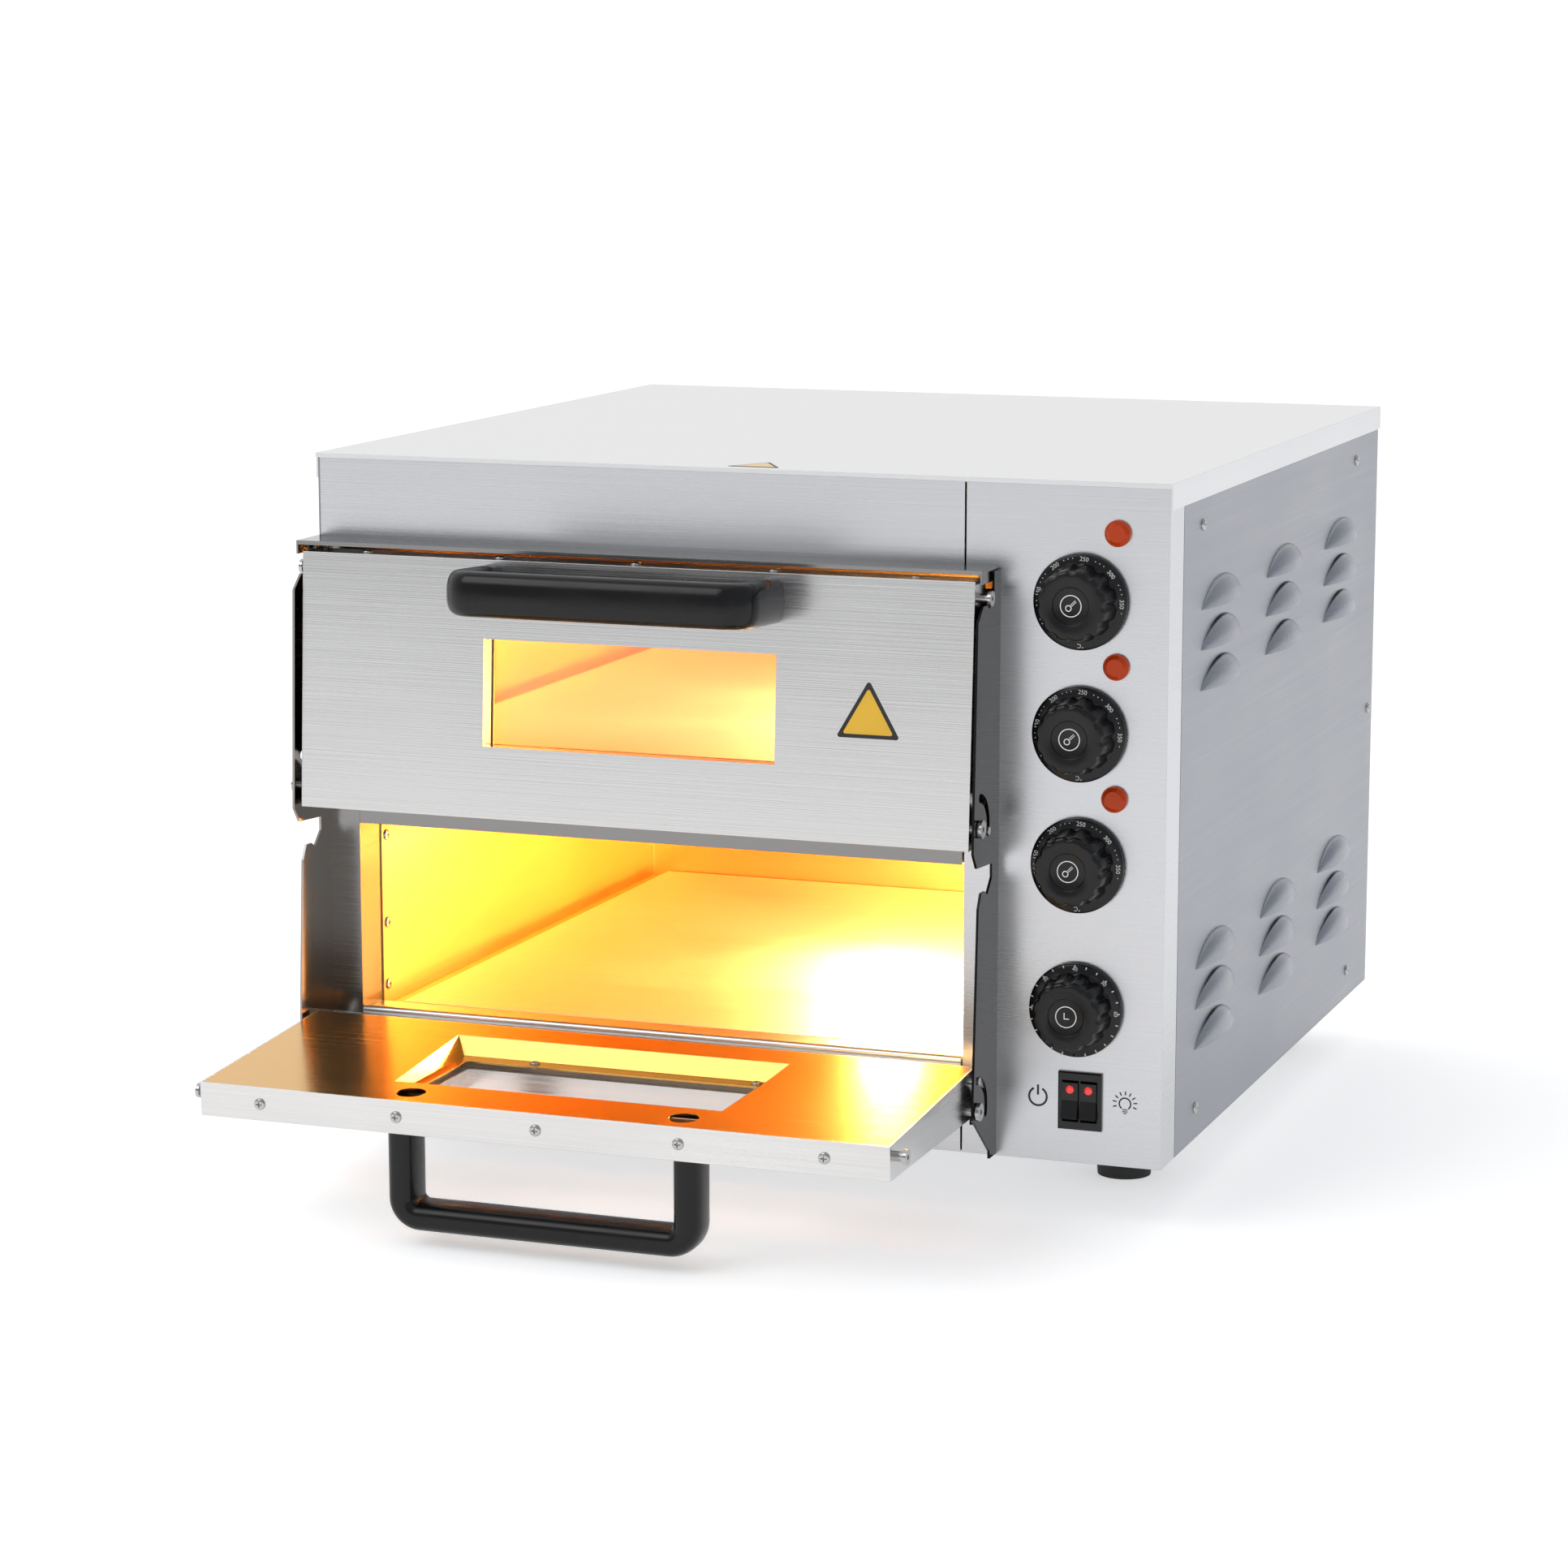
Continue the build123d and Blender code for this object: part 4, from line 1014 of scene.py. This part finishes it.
@dataclass
class Knob:
    """A control knob: lathed and scalloped moulding with printed dial."""

    name: str
    marks: tuple[tuple[str, float], ...]
    thermostat: bool
    skirt: float = 29 * MM
    cap: float = 23.2 * MM
    nose: float = 21.2 * MM
    dish: float = 11.3 * MM
    depth: float = 25 * MM
    scallop: float = 1.5 * MM
    flutes: int = 12
    sides: int = 216
    skirt_face: float = 5.5 * MM
    dish_sunk: float = 1.5 * MM

    def __post_init__(self) -> None:
        """Find the knob's centre from its CAD piece."""
        low, high = map(Vector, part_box(f"{self.name}_knob"))
        self.centre = Vector(((low.x + high.x) / 2, low.y + self.depth, (low.z + high.z) / 2))

    def moulding(self, finishes: Finishes) -> None:
        """Lathe the skirt and the scalloped cap.

        Args:
            finishes: The finishes.
        """
        s, c, n, d, t = self.skirt, self.cap, self.nose, self.dish, self.depth
        profile = [(0.0, 1.0 * MM, 0), (s - 0.4 * MM, 1.0 * MM, 0), (s, 1.4 * MM, 0),
                   (s, 4.2 * MM, 0), (s - 0.5 * MM, 5.0 * MM, 0), (s - 1.4 * MM, 5.5 * MM, 0),
                   (c + 0.8 * MM, 5.5 * MM, 0), (c + 0.3 * MM, 5.7 * MM, 0.6), (c, 6.4 * MM, 1),
                   ((c + n) / 2, 0.6 * t, 1), (n + 0.3 * MM, t - 2.6 * MM, 1),
                   (n - 0.1 * MM, t - 1.2 * MM, 0.9), (n - 1.0 * MM, t - 0.4 * MM, 0.7),
                   (n - 2.2 * MM, t - 0.05 * MM, 0.4), (n - 3.6 * MM, t, 0.1),
                   (d + 0.5 * MM, t, 0), (d, t - 0.3 * MM, 0), (d - 0.4 * MM, t - 1.3 * MM, 0),
                   (d - 0.9 * MM, t - 1.5 * MM, 0), (0.0, t - 1.5 * MM, 0)]
        bm = bmesh.new()
        rings = []
        for r, y, flute in profile:
            if r == 0:
                rings.append([bm.verts.new(self.centre + Vector((0, -y, 0)))])
                continue
            ring = []
            for i in range(self.sides):
                a = 2 * math.pi * i / self.sides
                cut = self.scallop * flute * max(0.0, math.cos(self.flutes * a)) ** 0.7
                ring.append(bm.verts.new(self.centre + Vector(((r - cut) * math.cos(a), -y,
                                                               (r - cut) * math.sin(a)))))
            rings.append(ring)
        for low, high in zip(rings, rings[1:]):
            for i in range(self.sides):
                j = (i + 1) % self.sides
                corners = [low[i % len(low)], low[j % len(low)], high[j % len(high)],
                           high[i % len(high)]]
                bm.faces.new(list(dict.fromkeys(corners)))
        obj = MeshWork.link(f"{self.name}_knob_moulding", MeshWork.from_bmesh(bm, "knob"),
                            finishes.get("knob_plastic"), 40)
        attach(obj, f"{self.name}_knob")
        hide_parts(f"{self.name}_knob")

    def dial(self, bm: bmesh.types.BMesh) -> None:
        """Print the numerals and ticks on the skirt.

        Args:
            bm: The mesh under construction.
        """
        face = facing(self.centre + self.skirt_face * FRONTWARD, FRONTWARD)
        reach, size = (26.0 * MM, 3.8 * MM) if self.thermostat else (25.8 * MM, 3.5 * MM)
        for words, angle in self.marks:
            spot = (Matrix.Rotation(math.radians(angle - 90), 4, "Z")
                    @ Matrix.Translation((0, reach, PRINT_LIFT)))
            MeshWork.text(bm, words, size, face @ spot)
        if not self.thermostat:
            for step in range(25):
                MeshWork.prism(bm, MeshWork.bar(0.7 * MM, 1.6 * MM, 27.6 * MM, -90 + step * 15),
                               face, 0.04 * MM)
            return
        ring, dot, first, pitch, clear = 26.6 * MM, 0.35 * MM, -12, 6.2, 11
        for step in range(37):
            angle = first + step * pitch
            if all(abs(angle - mark) > clear for _, mark in self.marks):
                turn = math.radians(angle)
                MeshWork.prism(bm, MeshWork.circle(dot, 10, ring * math.cos(turn),
                                                   ring * math.sin(turn)), face, PRINT_DEPTH)

    def pictogram(self, bm: bmesh.types.BMesh) -> None:
        """Print a ring in the dish, round a thermometer or the hands of a clock.

        Args:
            bm: The mesh under construction.
        """
        dish = facing(self.centre + (self.depth - self.dish_sunk) * FRONTWARD, FRONTWARD)
        MeshWork.band(bm, MeshWork.circle(6.7 * MM), MeshWork.circle(6.1 * MM), dish, DISH_DEPTH)
        if not self.thermostat:
            MeshWork.prism(bm, [(-1.4 * MM, 2.6 * MM), (-0.8 * MM, 2.6 * MM), (-0.8 * MM, -0.8 * MM),
                                (2.0 * MM, -0.8 * MM), (2.0 * MM, -1.4 * MM),
                                (-1.4 * MM, -1.4 * MM)], dish, DISH_DEPTH)
            return
        bulb = -1.4 * MM
        MeshWork.band(bm, MeshWork.circle(2.0 * MM, 24, bulb, bulb),
                      MeshWork.circle(1.4 * MM, 24, bulb, bulb), dish, DISH_DEPTH)
        for aside in (-0.5 * MM, 0.5 * MM):
            MeshWork.prism(bm, MeshWork.bar(0.4 * MM, 4.2 * MM, 2.3 * MM, 45, aside), dish,
                           DISH_DEPTH)

    def printing(self, finishes: Finishes) -> None:
        """Make the print of the skirt and the dish.

        Args:
            finishes: The finishes.
        """
        bm = bmesh.new()
        self.dial(bm)
        self.pictogram(bm)
        obj = MeshWork.link(f"{self.name}_knob_print", MeshWork.from_bmesh(bm, "print"),
                            finishes.add(PRINT_WHITE))
        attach(obj, f"{self.name}_knob")

    def build(self, finishes: Finishes) -> None:
        """Make the moulding and its print."""
        self.moulding(finishes)
        self.printing(finishes)


@dataclass
class SwitchPanel:
    """Pictograms beside the rockers, and the lenses in them."""

    panel: float
    power_across: float = 201 * MM
    lamp_across: float = 256 * MM
    rise: float = 79.5 * MM
    lens_out: float = 4.6 * MM
    lens_up: float = 7.4 * MM
    lens_sides: int = 28

    def sign(self, across: float) -> Matrix:
        """The place of one pictogram on the panel."""
        return facing(Vector((across, self.panel - PRINT_LIFT, self.rise)), FRONTWARD)

    def pictograms(self, finishes: Finishes) -> None:
        """A power sign on the left and a lamp sign on the right of the switch.

        Args:
            finishes: The finishes.
        """
        bm = bmesh.new()
        power, lamp = self.sign(self.power_across), self.sign(self.lamp_across)
        shapes = [(power, MeshWork.arc_band(5.6 * MM, 1.3 * MM, 118, 304, 40)),
                  (power, MeshWork.bar(1.3 * MM, 6.4 * MM, 4.2 * MM, 90)),
                  (lamp, MeshWork.arc_band(3.6 * MM, 0.9 * MM, -55, 290, 32))]
        shapes += [(lamp, MeshWork.bar(width * MM, 0.6 * MM, drop * MM, -90))
                   for width, drop in ((3.4, 3.7), (3.4, 4.9), (2.0, 6.0))]
        shapes += [(lamp, MeshWork.bar(0.8 * MM, 2.4 * MM, 6.6 * MM, angle))
                   for angle in range(-20, 201, 27)]
        for place, outline in shapes:
            MeshWork.prism(bm, outline, place, PRINT_DEPTH)
        obj = MeshWork.link("switch_pictograms", MeshWork.from_bmesh(bm, "pictograms"),
                            finishes.add(PRINT_BLACK))
        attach(obj, "casing")

    def lenses(self, finishes: Finishes) -> None:
        """A red lens at the upper end of each rocker.

        Args:
            finishes: The finishes.
        """
        for side in ("left", "right"):
            bm = bmesh.new()
            spot = joint_place(f"{side}_rocker_tilt") + Vector((0, -self.lens_out, self.lens_up))
            place = facing(spot, FRONTWARD)
            profile = ((2.6, -0.4), (2.6, 0.25), (2.2, 0.65), (1.3, 0.9))
            MeshWork.skin(bm, [MeshWork.ring(bm, MeshWork.circle(r * MM, self.lens_sides), place,
                                             h * MM) for r, h in profile])
            obj = MeshWork.link(f"{side}_rocker_lens", MeshWork.from_bmesh(bm, "lens"),
                                finishes.add(LENS_RED), 60)
            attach(obj, f"{side}_rocker")

    def build(self, finishes: Finishes) -> None:
        """Add the pictograms and the lenses."""
        self.pictograms(finishes)
        self.lenses(finishes)


@dataclass
class Casing:
    """Everything fixed: finishes of the CAD pieces, fasteners, seams and the lid's sticker."""

    front: float
    head: float = 1.6 * MM
    fold: float = 31.6 * MM
    seam: float = 0.3 * MM
    seam_proud: float = 0.04 * MM
    skirt: float = 15 * MM
    label_across: float = 12.5 * MM
    label_back: float = 18 * MM
    label_radius: float = 20 * MM

    def paint(self, finishes: Finishes) -> None:
        """Give every CAD piece the finish of its slot.

        Args:
            finishes: The finishes.
        """
        slots = {part["node"]: part["material_slot"] for part in FRAME["record"]["subparts"]}
        for name, node in FRAME["nodes"].items():
            node.data.materials.clear()
            special = NODE_FINISHES.get(name)
            node.data.materials.append(finishes.add(special) if special
                                       else finishes.get(slots[name]))

    def fasteners(self, finishes: Finishes) -> None:
        """Replace the plain screws of the casing, cavities and brackets.

        Args:
            finishes: The finishes.
        """
        heads = ScrewField(height=self.head)
        for node in ("casing_screws", "liner_screws", "bracket_screws"):
            groups: dict[Facing, list[Vector]] = {}
            for low, high in islands(FRAME["nodes"][node]):
                centre = (low + high) / 2
                if node == "bracket_screws":
                    way = Facing.FRONT
                    centre.y = low.y + self.head
                elif (centre.x > 0) == (node == "casing_screws"):
                    way = Facing.RIGHT
                    centre.x = high.x - self.head
                else:
                    way = Facing.LEFT
                    centre.x = low.x + self.head
                groups.setdefault(way, []).append(centre)
            for way, places in groups.items():
                obj = heads.scatter(f"{node}_{way.name.lower()}", places, Vector(way.value),
                                    finishes.get("screw_steel"))
                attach(obj, "casing")
                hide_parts(node)

    def seams(self, finishes: Finishes) -> None:
        """A fine shadow line where the control panel's fold meets the side panel.

        Args:
            finishes: The finishes.
        """
        bm = bmesh.new()
        low, high = map(Vector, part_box("control_panel"))
        start = Vector((high.x - self.seam, self.front + self.fold - self.seam, low.z))
        end = Vector((high.x + self.seam_proud, self.front + self.fold + self.seam,
                      high.z - self.skirt))
        bmesh.ops.create_cube(bm, size=1.0, matrix=Matrix.Translation((start + end) / 2)
                              @ Matrix.Diagonal((*(end - start), 1.0)))
        obj = MeshWork.link("casing_seams", MeshWork.from_bmesh(bm, "seams"),
                            finishes.add(SEAM_DARK))
        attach(obj, "casing")

    def build(self, finishes: Finishes) -> None:
        """Dress the casing.

        Args:
            finishes: The finishes.
        """
        self.paint(finishes)
        self.fasteners(finishes)
        self.seams(finishes)
        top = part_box("top_cover")[1][2]
        place = Matrix.Translation((self.label_across, self.front + self.label_back, top))
        triangle_label("lid_label", place, self.label_radius, finishes, "casing")


@dataclass
class Studio:
    """Floor, lights, cavity glow and camera."""

    front: float
    lens: float = 97.55
    eye: Point = (0.9275, -2.4183, 0.7183)
    yaw: float = 20.24
    pitch: float = 10.02
    floor_half: float = 12.0
    floor_glow: float = 0.42
    sky: float = 1.05
    key_power: float = 24.0
    glow_colour: Point = (1.0, 0.64, 0.27)
    glow_size: float = 0.02

    def floor(self) -> None:
        """A plain pale floor."""
        bm = bmesh.new()
        bmesh.ops.create_grid(bm, x_segments=1, y_segments=1, size=self.floor_half)
        shader = Shader("pale_floor")
        shade = shader.noise((1, 1, 1), 3.0, 3.0)
        shader.link(shader.tint(shade, (0.90, 0.90, 0.90), (0.92, 0.92, 0.92)),
                    shader.surface.inputs["Base Color"])
        shader.put("Roughness", 0.8)
        shader.glow((1.0, 1.0, 1.0), self.floor_glow)
        obj = MeshWork.link("floor", MeshWork.from_bmesh(bm, "floor"), shader.material)

    def area(self, name: str, at: Point, target: Point, size: tuple[float, float],
             power: float) -> None:
        """One soft lamp.

        Args:
            name: Name of the lamp.
            at: Where it stands.
            target: What it points at.
            size: Its width and height.
            power: Its power in watts.
        """
        lamp = bpy.data.lights.new(name, "AREA")
        lamp.shape = "RECTANGLE"
        lamp.size, lamp.size_y = size
        lamp.energy = power
        obj = bpy.data.objects.new(name, lamp)
        obj.location = at
        obj.rotation_euler = (Vector(target) - Vector(at)).to_track_quat("-Z", "Y").to_euler()
        bpy.context.scene.collection.objects.link(obj)

    def world(self) -> None:
        """A pale sky that is greyer towards the front and towards the right."""
        world = bpy.data.worlds.new("studio")
        bpy.context.scene.world = world
        world.use_nodes = True
        nodes, links = world.node_tree.nodes, world.node_tree.links
        coords = nodes.new("ShaderNodeTexCoord")
        split = nodes.new("ShaderNodeSeparateXYZ")
        links.new(coords.outputs["Generated"], split.inputs[0])
        colour = None
        for axis, start, end, shade in (("Y", -0.9, 0.3, (0.40, 0.41, 0.43, 1.0)),
                                        ("X", 0.60, 0.0, (0.50, 0.52, 0.56, 1.0))):
            ramp = nodes.new("ShaderNodeMapRange")
            ramp.interpolation_type = "SMOOTHSTEP"
            ramp.inputs["From Min"].default_value = start
            ramp.inputs["From Max"].default_value = end
            links.new(split.outputs[axis], ramp.inputs["Value"])
            mix = nodes.new("ShaderNodeMix")
            mix.data_type = "RGBA"
            mix.inputs[6].default_value = shade
            mix.inputs[7].default_value = (1.0, 1.0, 1.0, 1.0)
            if colour is not None:
                links.new(colour, mix.inputs[7])
            links.new(ramp.outputs["Result"], mix.inputs[0])
            colour = mix.outputs[2]
        backdrop = nodes["Background"]
        links.new(colour, backdrop.inputs["Color"])
        backdrop.inputs["Strength"].default_value = self.sky
        bpy.context.scene.view_settings.view_transform = "Standard"

    def lamp(self, name: str, at: Point, power: float) -> None:
        """One warm lamp inside a cavity.

        Args:
            name: Name of the lamp.
            at: Where it stands.
            power: Its power in watts.
        """
        lamp = bpy.data.lights.new(name, "POINT")
        lamp.energy = power
        lamp.color = self.glow_colour
        lamp.shadow_soft_size = self.glow_size
        obj = bpy.data.objects.new(name, lamp)
        obj.location = at
        bpy.context.scene.collection.objects.link(obj)

    def lights(self) -> None:
        """A broad key lamp, and in each cavity a lamp by its lens and one further back."""
        self.area("key", (-1.4, -2.2, 2.4), (0, 0, 0.2), (1.8, 1.8), self.key_power)
        for name in ("lower", "upper"):
            high = Vector(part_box(f"{name}_cavity_liner")[1])
            self.lamp(f"{name}_bulb", (high.x - 45 * MM, self.front + 230 * MM, high.z - 75 * MM),
                      5.5)
            self.lamp(f"{name}_deep", (0.0, self.front + 300 * MM, high.z - 30 * MM), 3.6)

    def camera(self) -> None:
        """The camera, with no shift and no depth of field."""
        data = bpy.data.cameras.new("view")
        data.lens = self.lens
        data.sensor_width = 36.0
        obj = bpy.data.objects.new("view", data)
        obj.location = Vector(self.eye) + Vector((0, self.front, 0))
        obj.rotation_euler = (math.radians(90 - self.pitch), 0.0, math.radians(self.yaw))
        bpy.context.scene.collection.objects.link(obj)
        bpy.context.scene.camera = obj

    def build(self) -> None:
        """Set the stage."""
        self.floor()
        self.world()
        self.lights()
        self.camera()


THERMOSTAT_MARKS = (("350", 0), ("300", 42), ("250", 84), ("200", 126), ("150", 168), ("°C", 272))
TIMER_MARKS = (("60", 0), ("50", 45), ("40", 90), ("30", 135), ("20", 180), ("10", 225))


def main() -> None:
    """Load the frame, dress every sub-assembly and set the stage."""
    logging.basicConfig(level=logging.INFO, format="%(name)s: %(message)s")
    FRAME.update(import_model())
    finishes = Finishes()
    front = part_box("control_panel")[0][1]
    Casing(front).build(finishes)
    LOG.info("casing dressed")
    Door("upper", 0.0, label=True).build(finishes)
    Door("lower", 93.5).build(finishes)
    LOG.info("doors dressed")
    for name in ("top_thermostat", "middle_thermostat", "bottom_thermostat"):
        Knob(name, THERMOSTAT_MARKS, thermostat=True).build(finishes)
    Knob("timer", TIMER_MARKS, thermostat=False).build(finishes)
    SwitchPanel(front).build(finishes)
    LOG.info("controls dressed")
    Studio(front).build()


if __name__ == "__main__":
    main()
